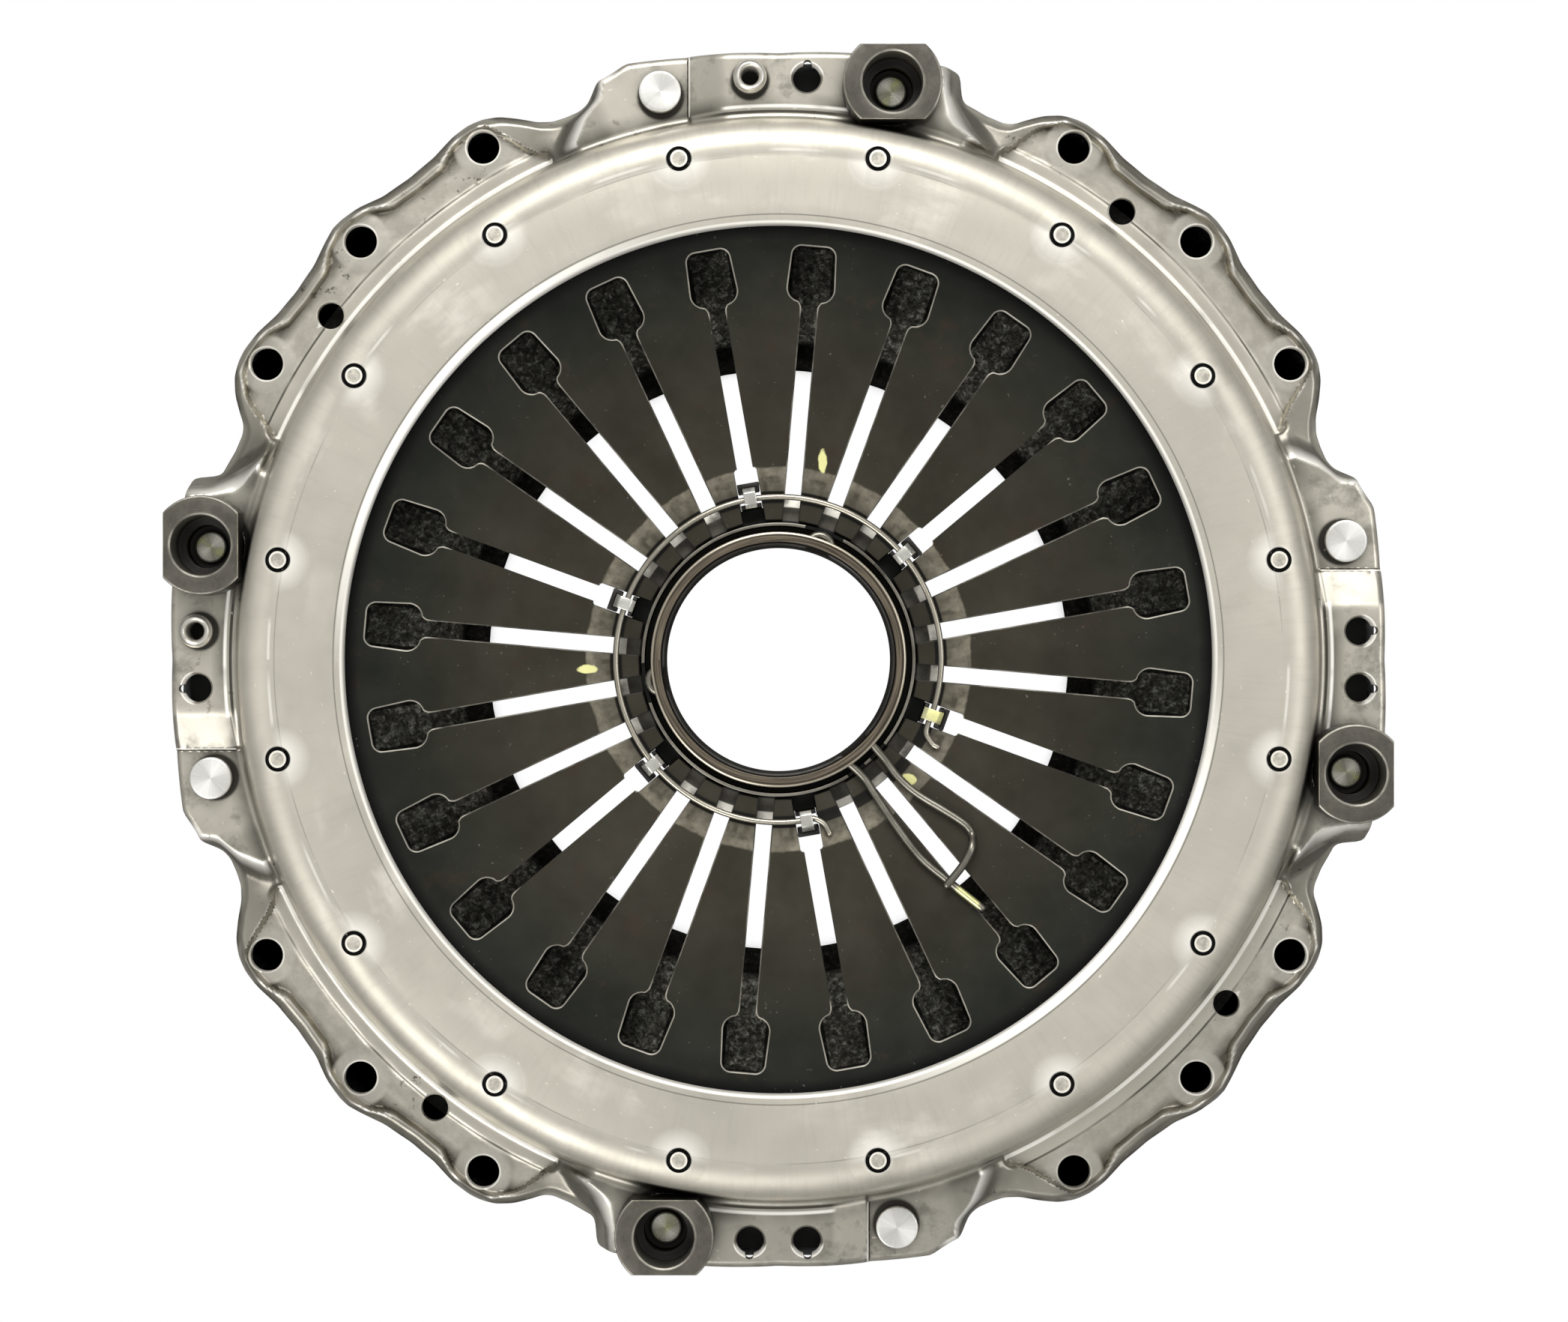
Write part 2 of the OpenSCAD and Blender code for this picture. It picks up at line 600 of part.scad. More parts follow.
// Cast iron plate with its ridge, inner step and four strap lugs
module pressure_plate() {
  edge = 1;
  ridge_nose = ridge_w / 2;
  ridge_z = spring_bottom(ridge_r) - bearing_gap;
  color("darkslategray") difference() {
    union() {
      rotate_extrude() polygon(concat(
        [[plate_in_r, edge], [plate_in_r + edge, 0], [plate_r - edge, 0], [plate_r, edge],
         [plate_r, plate_rim_h], [plate_body_r + 2, plate_rim_h], [plate_body_r, plate_rim_h + 2],
         [plate_body_r - 2, plate_body_h], [ridge_r + ridge_nose + 3, plate_body_h]],
        arc(ridge_r, ridge_z - ridge_nose, ridge_nose, 0, 180, 8),
        [[ridge_r - ridge_nose - 3, plate_body_h], [inner_step_r + 6, plate_body_h],
         [inner_step_r, plate_body_h - 5], [inner_step_r, inner_step_h], [plate_in_r, inner_step_h]]));
      at_stations() lug();
    }
    for (i = [0:ridge_gaps - 1]) rotate(i * 360 / ridge_gaps)
      translate([ridge_r - ridge_w, -ridge_gap_w / 2, plate_body_h + ridge_gap_floor])
        cube([2 * ridge_w, ridge_gap_w, dome_z]);
    at_stations() translate(polar(strap_circle_r, -stud_angle))
      translate([0, 0, lug_top - stud_depth - past]) cylinder(d = stud_d + 2 * shank_gap, h = dome_z);
  }
}

// Lug that carries one strap pack, with a web back to the plate's body
module lug() {
  place = polar(strap_circle_r, -stud_angle);
  translate([place[0], place[1], inner_step_h]) cylinder(r = lug_r, h = lug_top - inner_step_h);
  step = 3;
  translate([plate_body_r - lug_web, place[1] - lug_r, inner_step_h])
    cube([place[0] - plate_body_r + lug_web, 2 * lug_r, lug_top - inner_step_h - step]);
  translate([plate_body_r - step, place[1] - lug_r, inner_step_h])
    cube([place[0] - plate_body_r + step, 2 * lug_r, lug_top - inner_step_h]);
}

// One leaf of a strap pack, from the stud's hole to the rivet's hole
module strap_leaf(station_index, level) {
  from = polar(strap_circle_r, -stud_angle);
  to = polar(strap_circle_r, rivet_angle);
  run = norm(to - from);
  color("gray") rotate(station_index * quarter) translate([from[0], from[1], lug_top + level * leaf_t])
    rotate(atan2(to[1] - from[1], to[0] - from[0])) difference() {
      union() {
        cylinder(d = leaf_w, h = leaf_t);
        translate([run, 0, 0]) cylinder(d = leaf_w, h = leaf_t);
        translate([0, -leaf_w / 2 + past, 0]) cube([run, leaf_w - 2 * past, leaf_t]);
      }
      translate([0, 0, -past]) cylinder(d = stud_d + 2 * shank_gap, h = leaf_t + 2 * past);
      translate([run, 0, -past]) cylinder(d = rivet_d + 2 * shank_gap, h = leaf_t + 2 * past);
    }
}

// Rivets that hold the strap packs under the rivet pads
module strap_rivets() {
  bevel = 0.7;
  color("gainsboro") at_stations() translate(polar(strap_circle_r, rivet_angle)) {
    translate([0, 0, lug_top - rivet_tail_h]) cylinder(d = rivet_head_d, h = rivet_tail_h);
    translate([0, 0, lug_top - joint]) cylinder(d = rivet_d, h = rivet_pad_top - lug_top + 2 * joint);
    translate([0, 0, rivet_pad_top]) cylinder(d = rivet_head_d, h = rivet_head_h - bevel);
    translate([0, 0, rivet_pad_top + rivet_head_h - bevel])
      cylinder(d1 = rivet_head_d, d2 = rivet_head_d - 2 * bevel, h = bevel);
  }
}

// Flanged sleeve: its neck clamps the straps on the lug and its head stops on the cover
module stop_sleeve(station_index) {
  foot = strap_top;
  head_z = raised_pad_top + head_gap;
  top = raised_pad_top + sleeve_head_h;
  half = sleeve_flats / 2;
  edge = sleeve_chamfer / 2;
  color("dimgray") rotate(station_index * quarter) translate(polar(strap_circle_r, -stud_angle)) difference() {
    union() {
      translate([0, 0, foot]) cylinder(d = sleeve_neck_d, h = head_z - foot + joint);
      intersection() {
        rotate_extrude() polygon([[0, head_z], [sleeve_head_d / 2, head_z],
          [sleeve_head_d / 2, top - sleeve_chamfer], [sleeve_head_d / 2 - sleeve_chamfer, top], [0, top]]);
        rotate([90, 0, 0]) translate([0, 0, -sleeve_head_d]) linear_extrude(2 * sleeve_head_d) polygon([
          [head_relief - half, head_z], [half - head_relief, head_z], [half, head_z + head_relief_h],
          [half, top - edge], [half - edge, top], [edge - half, top], [-half, top - edge],
          [-half, head_z + head_relief_h]]);
      }
    }
    translate([0, 0, foot + sleeve_shoulder]) cylinder(d = sleeve_bore_d, h = top);
    translate([0, 0, foot + sleeve_floor]) cylinder(d = sleeve_low_bore_d, h = top);
    translate([0, 0, foot - past]) cylinder(d = stud_d + 2 * shank_gap, h = top);
    translate([0, 0, top - sleeve_chamfer])
      cylinder(d1 = sleeve_bore_d, d2 = sleeve_bore_d + 2 * sleeve_chamfer + 0.1, h = sleeve_chamfer + 0.05);
  }
}

// Studs that hold sleeve and straps on the plate's lugs
module lug_studs() {
  foot = strap_top;
  color("darkkhaki") at_stations() translate(polar(strap_circle_r, -stud_angle)) {
    translate([0, 0, lug_top - stud_depth])
      cylinder(d = stud_d, h = foot + sleeve_floor - lug_top + stud_depth + joint);
    translate([0, 0, foot + sleeve_floor]) cylinder(d = stud_head_d, h = stud_head_h);
  }
}

// Tubular rivets that balance the cover, in two of its eight balance holes
module balance_rivets() {
  places = [quarter + balance_angle, 2 * quarter - balance_angle];
  tail = 1.6;
  color("gainsboro") for (a = places) rotate(a) translate([strap_circle_r, 0, 0]) difference() {
    union() {
      translate([0, 0, raised_pad_top - sheet - tail])
        cylinder(d = balance_hole_d - 2 * shank_gap, h = sheet + tail + joint);
      rotate_extrude() polygon(concat([[0, raised_pad_top], [balance_head_d / 2 - 0.6, raised_pad_top]],
        arc(balance_head_d / 2 - 2, raised_pad_top + balance_h - 2, 2, 0, 90, 4),
        [[0, raised_pad_top + balance_h]]));
    }
    translate([0, 0, raised_pad_top - sheet - tail - past]) cylinder(d = balance_bore_d, h = dome_z);
  }
}

// Ring that pulls the finger tips, with a thin lip inside them and a notch for each clip
module release_ring() {
  bottom = ring_flange_top - ring_flange_t;
  edge = 0.6;
  color("saddlebrown") difference() {
    rotate_extrude() polygon([
      [ring_in_r, bottom], [ring_flange_r - edge, bottom], [ring_flange_r, bottom + edge],
      [ring_flange_r, ring_flange_top - edge], [ring_flange_r - edge, ring_flange_top],
      [lip_r, ring_flange_top], [lip_r, ring_flange_top + lip_h], [lip_r - lip_t, ring_flange_top + lip_h],
      [lip_r - lip_t, ring_flange_top], [ring_in_r, ring_flange_top]]);
    snap_passages(clip_seat_r, ring_flange_top + lip_h + past);
    for (i = [0:clips - 1]) rotate(clip_angle + i * 360 / clips)
      translate([clip_seat_r, -clip_foot_w / 2 - clip_play, bottom - past])
        cube([clip_notch + past, clip_foot_w + 2 * clip_play, ring_flange_t + 2 * past]);
  }
}

// Room for the snap ring's loops and legs where they pass outwards
module snap_passages(reach, top) {
  bottom = snap_height() - snap_d / 2 - snap_gap - nudge;
  for (a = snap_loops) rotate(a) translate([thrust_in_r - past, -loop_r - snap_d, bottom])
    cube([reach - thrust_in_r, 2 * loop_r + 2 * snap_d, top - bottom]);
  for (a = snap_exits) rotate(a) translate([thrust_in_r - past, -snap_d * 1.3, bottom])
    cube([reach - thrust_in_r, snap_d * 2.6, top - bottom]);
}

// Ring that the release bearing's sleeve snaps into
module thrust_ring() {
  head_z = ring_flange_top + bearing_gap;
  top = ring_flange_top + thrust_h;
  low = snap_height() - snap_d / 2 - snap_gap;
  high = snap_height() + snap_d / 2 + snap_gap;
  groove_r = snap_ring_r + snap_d / 2 + snap_gap;
  edge = 0.6;
  color("peru") difference() {
    rotate_extrude() polygon([
      [thrust_in_r, head_z - spigot_h], [spigot_r, head_z - spigot_h], [spigot_r, head_z], [thrust_r, head_z],
      [thrust_r, top - edge], [thrust_r - edge, top], [band_in_r + edge, top], [band_in_r, top - edge],
      [band_in_r, high], [groove_r, high], [groove_r, low], [thrust_in_r, low]]);
    snap_passages(thrust_r + 2 * past, high + nudge);
  }
}

// Hooks through six slots: a narrow saddle over the wire, and wide feet that hold the flange
module ring_clips() {
  low = ring_flange_top - ring_flange_t - bearing_gap;
  wire_z = wire_height();
  top = wire_z + wire_d / 2 + bearing_gap / 2;
  stem = clip_seat_r + bearing_gap;
  far = wire_ring_r + clip_reach;
  foot_z = wire_z - wire_d / 2;
  side_w = (clip_foot_w - clip_w) / 2;
  color("silver") for (i = [0:clips - 1]) rotate(clip_angle + i * 360 / clips) difference() {
    rotate([90, 0, 0]) translate([0, 0, -clip_foot_w / 2]) linear_extrude(clip_foot_w) polygon([
      [stem - 4, low - clip_t], [stem + clip_t, low - clip_t], [stem + clip_t, top - 1],
      [stem + clip_t + 0.4, top], [far - 0.4, top], [far, top - 0.6], [far, foot_z],
      [far + clip_t + clip_foot_l, foot_z], [far + clip_t + clip_foot_l, foot_z + clip_t / 2],
      [far + clip_t, foot_z + clip_t / 2], [far + clip_t, top + 0.6], [far + 0.6, top + clip_t],
      [stem + 0.8, top + clip_t], [stem, top + 0.8], [stem, low], [stem - 4, low]]);
    for (from = [-clip_w / 2 - side_w - past, clip_w / 2]) translate([stem - past, from, top - 1.5])
      cube([far + 2 * clip_t - stem, side_w + past, 2 * clip_t + 1.5]);
  }
}

// Bent wire ring that lies on the fingers, with two ends turned outwards
function wire_height() = spring_top(wire_ring_r) + wire_d / 2 + bearing_gap / 2;
first_end = [[7, -8.8], [3.7, -8.2], [0.9, -6.5]];
last_end = [[2.5, 5.4], [4.7, 6.1], [7, 6.4]];
module retaining_wire() {
  from = clip_angle - 60;
  to = from + 300;
  steps = 74;
  function on_fingers(out, a) = [each polar(wire_ring_r + out, a), wire_height() + out * spring_lean];
  ring = [for (i = [0:steps]) on_fingers(0, from - 3 + (to + 2.5 - from + 3) * i / steps)];
  color("whitesmoke") wire(concat([for (p = first_end) on_fingers(p[0], from + p[1])], ring,
    [for (p = last_end) on_fingers(p[0], to + p[1])]), wire_d);
}

// Snap ring: one leg, round the groove with two loops that reach outwards, and the other leg
snap_gap = 0.15;
snap_ring_r = thrust_in_r + snap_d / 2 + 0.1;
snap_loops = [70, 190];
snap_exits = [305.2, 317.2];
loop_r = 4.6;
// Half the angle that a loop turns through, and the step between its points
loop_turn = 100;
loop_step = 25;
leg_rise = 0.75;
// Places along the two legs: distance out from the bore's wall and angle, from the ring outwards
left_leg = [[5.1, 304.2], [12.8, 305.9], [20.1, 305.6], [34.6, 305.3], [49, 305.7], [60.8, 307.3],
  [68, 308.2], [77.8, 309.3]];
right_leg = [[5.1, 318], [12.9, 316.8], [19.9, 315.6], [26.9, 315.6], [32.8, 316.3], [41, 317.6],
  [49, 318.5], [52.7, 318.5], [55.7, 317.8], [58.5, 315.8], [60.1, 313.6], [61.4, 310.9], [62.9, 306.8]];
crossing_from = 9;
function snap_height() = ring_flange_top + snap_z;
function on_leg(p, above) = let (r = thrust_in_r + p[0])
  [each polar(r, p[1]), max(spring_top(r) + snap_d / 2 + above, snap_height())];
function ring_arc(from, to) = let (steps = ceil((to - from) / 4))
  [for (i = [0:steps]) [each polar(snap_ring_r, from + (to - from) * i / steps), snap_height()]];
function snap_loop(a) = [for (t = [-loop_turn:loop_step:loop_turn])
  let (x = snap_ring_r + 1 + loop_r * cos(t), y = loop_r * sin(t))
  [x * cos(a) - y * sin(a), x * sin(a) + y * cos(a), snap_height()]];
module snap_ring() {
  turn = 7;
  route = concat(
    [for (i = [len(right_leg) - 1:-1:0]) let (p = right_leg[i])
      on_leg(p, leg_rise + (i >= crossing_from ? snap_d + bearing_gap : 0))],
    ring_arc(snap_exits[1] + 3, snap_loops[0] + 360 - turn), snap_loop(snap_loops[0]),
    ring_arc(snap_loops[0] + turn, snap_loops[1] - turn), snap_loop(snap_loops[1]),
    ring_arc(snap_loops[1] + turn, snap_exits[0] - 3),
    [for (p = left_leg) on_leg(p, leg_rise)]);
  color("silver") wire(route, snap_d);
}

cover_housing();
fulcrum_ring();
fulcrum_pins();
diaphragm_spring();
pressure_plate();
strap_rivets();
lug_studs();
balance_rivets();
release_ring();
thrust_ring();
ring_clips();
retaining_wire();
snap_ring();
for (k = [0:stations - 1]) stop_sleeve(k);
for (k = [0:stations - 1]) for (level = [0:leaves - 1])
  strap_leaf(k, level);
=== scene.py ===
import json
from functools import cached_property
from math import ceil, cos, degrees, hypot, pi, radians, sin, tan

import bmesh
import bpy
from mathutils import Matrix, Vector


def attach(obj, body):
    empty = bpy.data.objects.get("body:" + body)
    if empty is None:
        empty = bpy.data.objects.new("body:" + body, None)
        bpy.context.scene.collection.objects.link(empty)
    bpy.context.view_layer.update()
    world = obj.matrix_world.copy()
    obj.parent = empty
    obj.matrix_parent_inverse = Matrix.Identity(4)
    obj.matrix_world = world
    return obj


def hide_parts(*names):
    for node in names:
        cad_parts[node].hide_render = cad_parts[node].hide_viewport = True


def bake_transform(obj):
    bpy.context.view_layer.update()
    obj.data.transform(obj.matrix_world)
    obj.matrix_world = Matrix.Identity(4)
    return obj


# Clutch pressure plate lying on its friction face, seen from straight above.
# Lengths are in millimetres and turned into metres by MM where they reach Blender. Only the stage's own
# sizes and the scales of the noises count in metres.
MM = 0.001

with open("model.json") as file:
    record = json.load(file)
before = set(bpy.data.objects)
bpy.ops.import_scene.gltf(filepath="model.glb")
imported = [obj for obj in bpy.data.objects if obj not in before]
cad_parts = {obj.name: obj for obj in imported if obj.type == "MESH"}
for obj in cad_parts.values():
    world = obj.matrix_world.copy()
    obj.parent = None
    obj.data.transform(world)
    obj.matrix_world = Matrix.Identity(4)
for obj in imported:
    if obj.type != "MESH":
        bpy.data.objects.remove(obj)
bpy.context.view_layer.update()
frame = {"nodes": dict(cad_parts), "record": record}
bpy.ops.object.select_all(action="DESELECT")
nodes = frame["nodes"]

# ---------- Camera ----------
FLANGE_Z = 27.0              # the flange's top face, where the photo's scale was taken
CAMERA_HEIGHT = 1500.0       # above the flange
PHOTO_W, PHOTO_H = 2093, 1764
MM_PER_PIXEL = 0.28514       # at the flange
CENTRE_PX = (1039.2, 880.1)  # the clutch axis in the photo
SENSOR = 36                  # the camera's sensor width


def linked(name, data):
    """A new object in the scene."""
    made = bpy.data.objects.new(name, data)
    bpy.context.collection.objects.link(made)
    return made


camera_data = bpy.data.cameras.new("camera")
camera = linked("camera", camera_data)
camera.location = (
    (PHOTO_W / 2 - CENTRE_PX[0]) * MM_PER_PIXEL * MM,
    (CENTRE_PX[1] - PHOTO_H / 2) * MM_PER_PIXEL * MM,
    (FLANGE_Z + CAMERA_HEIGHT) * MM,
)
camera_data.sensor_width = SENSOR
camera_data.lens = SENSOR * CAMERA_HEIGHT / (PHOTO_W * MM_PER_PIXEL)
camera_data.clip_end = 20
bpy.context.scene.camera = camera
bpy.context.scene.view_settings.view_transform = "Standard"


# ---------- Node trees ----------
class Nodes:
    """A node tree that is put together call by call; each call gives back an output."""

    def __init__(self, tree):
        self.tree = tree

    def feed(self, socket, value):
        """Links an input to an output, or sets it to a number, place or colour."""
        if isinstance(value, bpy.types.NodeSocket):
            self.tree.links.new(value, socket)
        else:
            socket.default_value = (*value, 1) if socket.type == "RGBA" else value

    def node(self, kind, inputs=None, out=0, **settings):
        made = self.tree.nodes.new("ShaderNode" + kind)
        for key, value in settings.items():
            setattr(made, key, value)
        for key, value in (inputs or {}).items():
            self.feed(made.inputs[key], value)
        return made.outputs[out] if made.outputs else None

    def math(self, operation, a, b=0.0, c=0.0, clamp=False):
        return self.node("Math", {0: a, 1: b, 2: c}, operation=operation, use_clamp=clamp)

    def chain(self, operation, values):
        total = values[0]
        for value in values[1:]:
            total = self.math(operation, total, value)
        return total

    def times(self, *values):
        return self.chain("MULTIPLY", values)

    def most(self, *values):
        return self.chain("MAXIMUM", values)

    def minus(self, a, b):
        return self.math("SUBTRACT", a, b)

    def size(self, value):
        return self.math("ABSOLUTE", value)

    def linear(self, value, factor, plus):
        return self.math("MULTIPLY_ADD", value, factor, plus)

    def span(self, value, low, high, to_low=0.0, to_high=1.0):
        """Maps low..high to to_low..to_high, without going past either."""
        return self.node("MapRange", {"Value": value, "From Min": low, "From Max": high,
                                      "To Min": to_low, "To Max": to_high})

    def reach(self, value, low, high, *to):
        """As span, for a length and limits in mm."""
        return self.span(value, low * MM, high * MM, *to)

    def band(self, value, start, full, until, end):
        """Rises from 0 to 1 between the first two limits in mm and falls again between the last two."""
        return self.times(self.reach(value, start, full), self.reach(value, end, until))

    def vector(self, operation, a, b=(0, 0, 0), out=0):
        return self.node("VectorMath", {0: a, 1: b}, out, operation=operation)

    def flat_length(self, vector):
        return self.vector("LENGTH", self.vector("MULTIPLY", vector, (1, 1, 0)), out="Value")

    @cached_property
    def place(self):
        return self.node("TexCoord", out="Object")

    @cached_property
    def xyz(self):
        return self.node("SeparateXYZ", {0: self.place}, slice(0, 3))

    @cached_property
    def r(self):
        """Distance from the clutch axis."""
        return self.flat_length(self.place)

    @cached_property
    def turn(self):
        """Angle round the axis, from -pi to pi."""
        return self.math("ARCTAN2", self.xyz[1], self.xyz[0])


# ---------- Stage and light ----------
WHITE = (1.0, 1.0, 1.0)
# Outline of the painted shade under the cover's rim: angle from a station and radius
RIM_SHADE = ((0, 230.7), (14.4, 234.3), (17, 232), (18, 228.7), (19, 225.5), (20, 224.5), (22.8, 223.9),
             (24, 226), (25.7, 231.1), (27.3, 235.2), (28.8, 237.3), (30.3, 237.9), (32, 237),
             (34.5, 234.5), (37.4, 233.7), (40.4, 234.6), (43, 237.7), (45, 239.3))
SHADE_IN_R = 200.0           # the shade's inner edge, hidden by the cover
FLOOR_SIZE, FLOOR_Z = 6, -0.0006   # in metres, just below the friction face


def white_floor():
    """A white floor that the camera sees as even white, with painted black shade where the clutch closes it in.
    """
    bpy.ops.mesh.primitive_plane_add(size=FLOOR_SIZE, location=(0, 0, FLOOR_Z))
    floor = bpy.context.object
    floor.name = "floor"
    material = bpy.data.materials.new("floor_white")
    material.use_nodes = True
    s = Nodes(material.node_tree)
    s.tree.nodes.clear()

    r = s.vector("LENGTH", s.place, out="Value")
    fold = s.math("PINGPONG", s.turn, radians(45))
    rim = RIM_SHADE[0][1] * MM
    for (from_angle, from_r), (to_angle, to_r) in zip(RIM_SHADE, RIM_SHADE[1:]):
        step = s.span(fold, radians(from_angle), radians(to_angle), 0, (to_r - from_r) * MM)
        rim = s.math("ADD", rim, step)
    under = s.most(s.minus(r, rim), s.minus(SHADE_IN_R * MM, r))
    # the floor glows where more of the sky is open than this share, which is higher under the cover
    shut = s.reach(under, -0.5, 0, 0.90, 0.34)
    open_sky = s.node("AmbientOcclusion", {"Distance": 32 * MM}, "AO", samples=12)
    level = s.math("MULTIPLY", s.minus(open_sky, shut), 8.0, clamp=True)
    glow = s.node("Emission", {"Color": WHITE, "Strength": level})
    plain = s.node("BsdfDiffuse", {"Color": (0.8, 0.8, 0.8)})
    shade = s.node("BsdfDiffuse", {"Color": (0.10, 0.10, 0.10)})
    camera_ray = s.node("LightPath", out="Is Camera Ray")
    glossy_ray = s.node("LightPath", out="Is Glossy Ray")
    dim = s.node("MixShader", {"Fac": glossy_ray, 1: plain, 2: shade})
    mixed = s.node("MixShader", {"Fac": camera_ray, 1: dim, 2: glow})
    # from below the floor can't be seen
    below = s.times(s.node("NewGeometry", out="Backfacing"), camera_ray)
    mixed = s.node("MixShader", {"Fac": below, 1: mixed, 2: s.node("BsdfTransparent")})
    s.node("OutputMaterial", {"Surface": mixed})
    floor.data.materials.append(material)


def softbox(name, place, size, watts):
    """A square area light that points at the clutch's middle."""
    data = bpy.data.lights.new(name, "AREA")
    data.shape = "SQUARE"
    data.size = size
    data.energy = watts
    light = linked(name, data)
    light.location = place
    light.rotation_euler = (Vector((0, 0, 0.03)) - Vector(place)).to_track_quat("-Z", "Y").to_euler()


def studio():
    """A grey sky, dimmer towards the horizon, that the camera sees white."""
    world = bpy.data.worlds.new("studio")
    world.use_nodes = True
    s = Nodes(world.node_tree)
    height = s.node("SeparateXYZ", {0: s.node("TexCoord", out="Generated")}, "Z")
    strength = s.node("Mix", {"Factor": s.node("LightPath", out="Is Camera Ray"),
                              "A": s.span(height, 0.05, 0.75, 0.25, 0.46), "B": 1.0})
    background = world.node_tree.nodes["Background"]
    s.feed(background.inputs["Color"], WHITE)
    s.feed(background.inputs["Strength"], strength)
    bpy.context.scene.world = world


white_floor()
softbox("softbox_top", (-0.05, 1.55, 1.5), 1.3, 38)
softbox("softbox_left", (-0.8, -1.25, 1.4), 1.1, 20)
softbox("softbox_right", (1.45, 0.2, 1.5), 1.0, 8)
studio()

# ---------- Places shared by shapes and materials, in degrees and millimetres ----------
STRAP_CIRCLE_R = 218.7
RIVET_ANGLE, STUD_ANGLE, BALANCE_ANGLE = 11.8, 11.2, 2.8
PIN_CIRCLE_R, PIN_COUNT = 189.1, 16
WIRE_RING_R = 61.3           # circle of the retaining wire on the fingers


# ---------- Materials ----------
MATERIALS = {}


class Shader(Nodes):
    """A surface whose base colour is laid on in layers."""

    def __init__(self, name, metallic, roughness):
        material = MATERIALS[name] = bpy.data.materials.new(name)
        material.use_nodes = True
        super().__init__(material.node_tree)
        self.set("Metallic", metallic)
        self.set("Roughness", roughness)

    def set(self, name, value):
        self.feed(self.tree.nodes["Principled BSDF"].inputs[name], value)

    def mix(self, amount, a, b):
        """Mixes two colours."""
        return self.node("Mix", {0: amount, 6: a, 7: b}, 2, data_type="RGBA")

    def lay(self, colour, *masks):
        """Lays a colour over the base where all masks are 1."""
        self.base = self.mix(self.times(*masks), self.base, colour)

    def done(self, rough=None, bump=None):
        """Joins the layers to the surface; bump is a height, its distance in mm and its strength."""
        self.set("Base Color", self.base)
        if rough:
            self.set("Roughness", rough)
        if bump:
            height, distance, strength = bump
            self.set("Normal", self.node("Bump", {"Height": height, "Strength": strength,
                                                  "Distance": distance * MM}))

    def noise(self, scale, detail=3, rough=0.6, at=None, distort=0.0):
        """Noise; the scale counts features in a metre."""
        return self.node("TexNoise", {"Vector": at or self.place, "Scale": scale, "Detail": detail,
                                      "Roughness": rough, "Distortion": distort})

    def patchy(self, scale, low, high, to_low=0.0, to_high=1.0, detail=4, rough=0.6):
        """Noise mapped from low..high to to_low..to_high."""
        return self.span(self.noise(scale, detail, rough), low, high, to_low, to_high)

    def streaks(self, stretch, low, high, to_low=0.0, to_high=1.0, detail=4, rough=0.6):
        """Patches that are stretched outwards, round the axis and up."""
        return self.span(self.noise(1.0, detail, rough, self.around(*stretch)), low, high, to_low, to_high)

    def around(self, radial, turning, height):
        """Coordinates that run outwards, round the axis and up, each with its own stretch."""
        return self.node("CombineXYZ", {0: self.times(self.r, radial), 1: self.times(self.turn, turning),
                                        2: self.times(self.xyz[2], height)})

    def local(self, count, turn, circle_r):
        """Coordinates outwards and round from the nearest of some places on a circle."""
        step = 2 * pi / count
        a = self.minus(self.turn, radians(turn) - step / 2 - 4 * pi)
        a = self.minus(self.math("FLOORED_MODULO", a, step), step / 2)
        out = self.minus(self.times(self.r, self.math("COSINE", a)), circle_r * MM)
        return out, self.times(self.r, self.math("SINE", a))

    def far(self, u, v):
        return self.math("SQRT", self.math("ADD", self.times(u, u), self.times(v, v)))

    def near(self, count, circle_r, turn=None):
        """Distance from the nearest of some places on a circle, half a step round or at an angle."""
        return self.far(*self.local(count, (180 / count if turn is None else turn), circle_r))

    def balance_far(self):
        """Distance from the nearest balance hole."""
        return self.math("MINIMUM", self.near(4, STRAP_CIRCLE_R, BALANCE_ANGLE),
                         self.near(4, STRAP_CIRCLE_R, -BALANCE_ANGLE))

    def across(self, count, turn):
        """Distance sideways from the nearest of some lines that run outwards."""
        return self.local(count, turn, 0.0)[1]

    def line(self, value, middle, half, edge=0.3):
        """1 within half a width of a middle length, in mm."""
        return self.reach(self.size(self.minus(value, middle * MM)), half + edge, half)

    def shifted(self, x, y):
        return self.vector("SUBTRACT", self.place, (x * MM, y * MM, 0))

    def spot(self, x, y, radius, edge):
        """1 inside a circle, in mm."""
        return self.reach(self.flat_length(self.shifted(x, y)), radius + edge, radius)

    def mark(self, centre, size):
        """1 inside a brushed spot with a centre and half sizes in mm."""
        scaled = self.vector("MULTIPLY", self.shifted(*centre), (1 / (size[0] * MM), 1 / (size[1] * MM), 0))
        far = self.vector("LENGTH", scaled, out="Value")
        return self.span(self.linear(self.noise(450, 2, 0.55), 0.5, far), 1.37, 1.13)

    def paint(self, marks):
        for centre, size in marks:
            self.lay(PAINT, self.mark(centre, size))

    def turning_marks(self, far):
        """Height of fine rings round a place."""
        return self.math("SINE", self.times(far, 9000.0))

    def along_one(self, value):
        """Coordinates that only run along one value."""
        return self.node("CombineXYZ", {0: value})


PAINT = (0.82, 0.80, 0.36)
# Yellow paint dabs on the fingers: centre and half sizes in mm
FINGER_DABS = [((16.6, 74.6), (1.6, 4.2)), ((-71.9, -3.6), (4.0, 1.6)), ((48.9, -45.2), (3.0, 2.2))]


def tint(shade, warm=1.0):
    """A warm grey of a brightness."""
    return (shade, shade * (1 - 0.055 * warm), shade * (1 - 0.195 * warm))


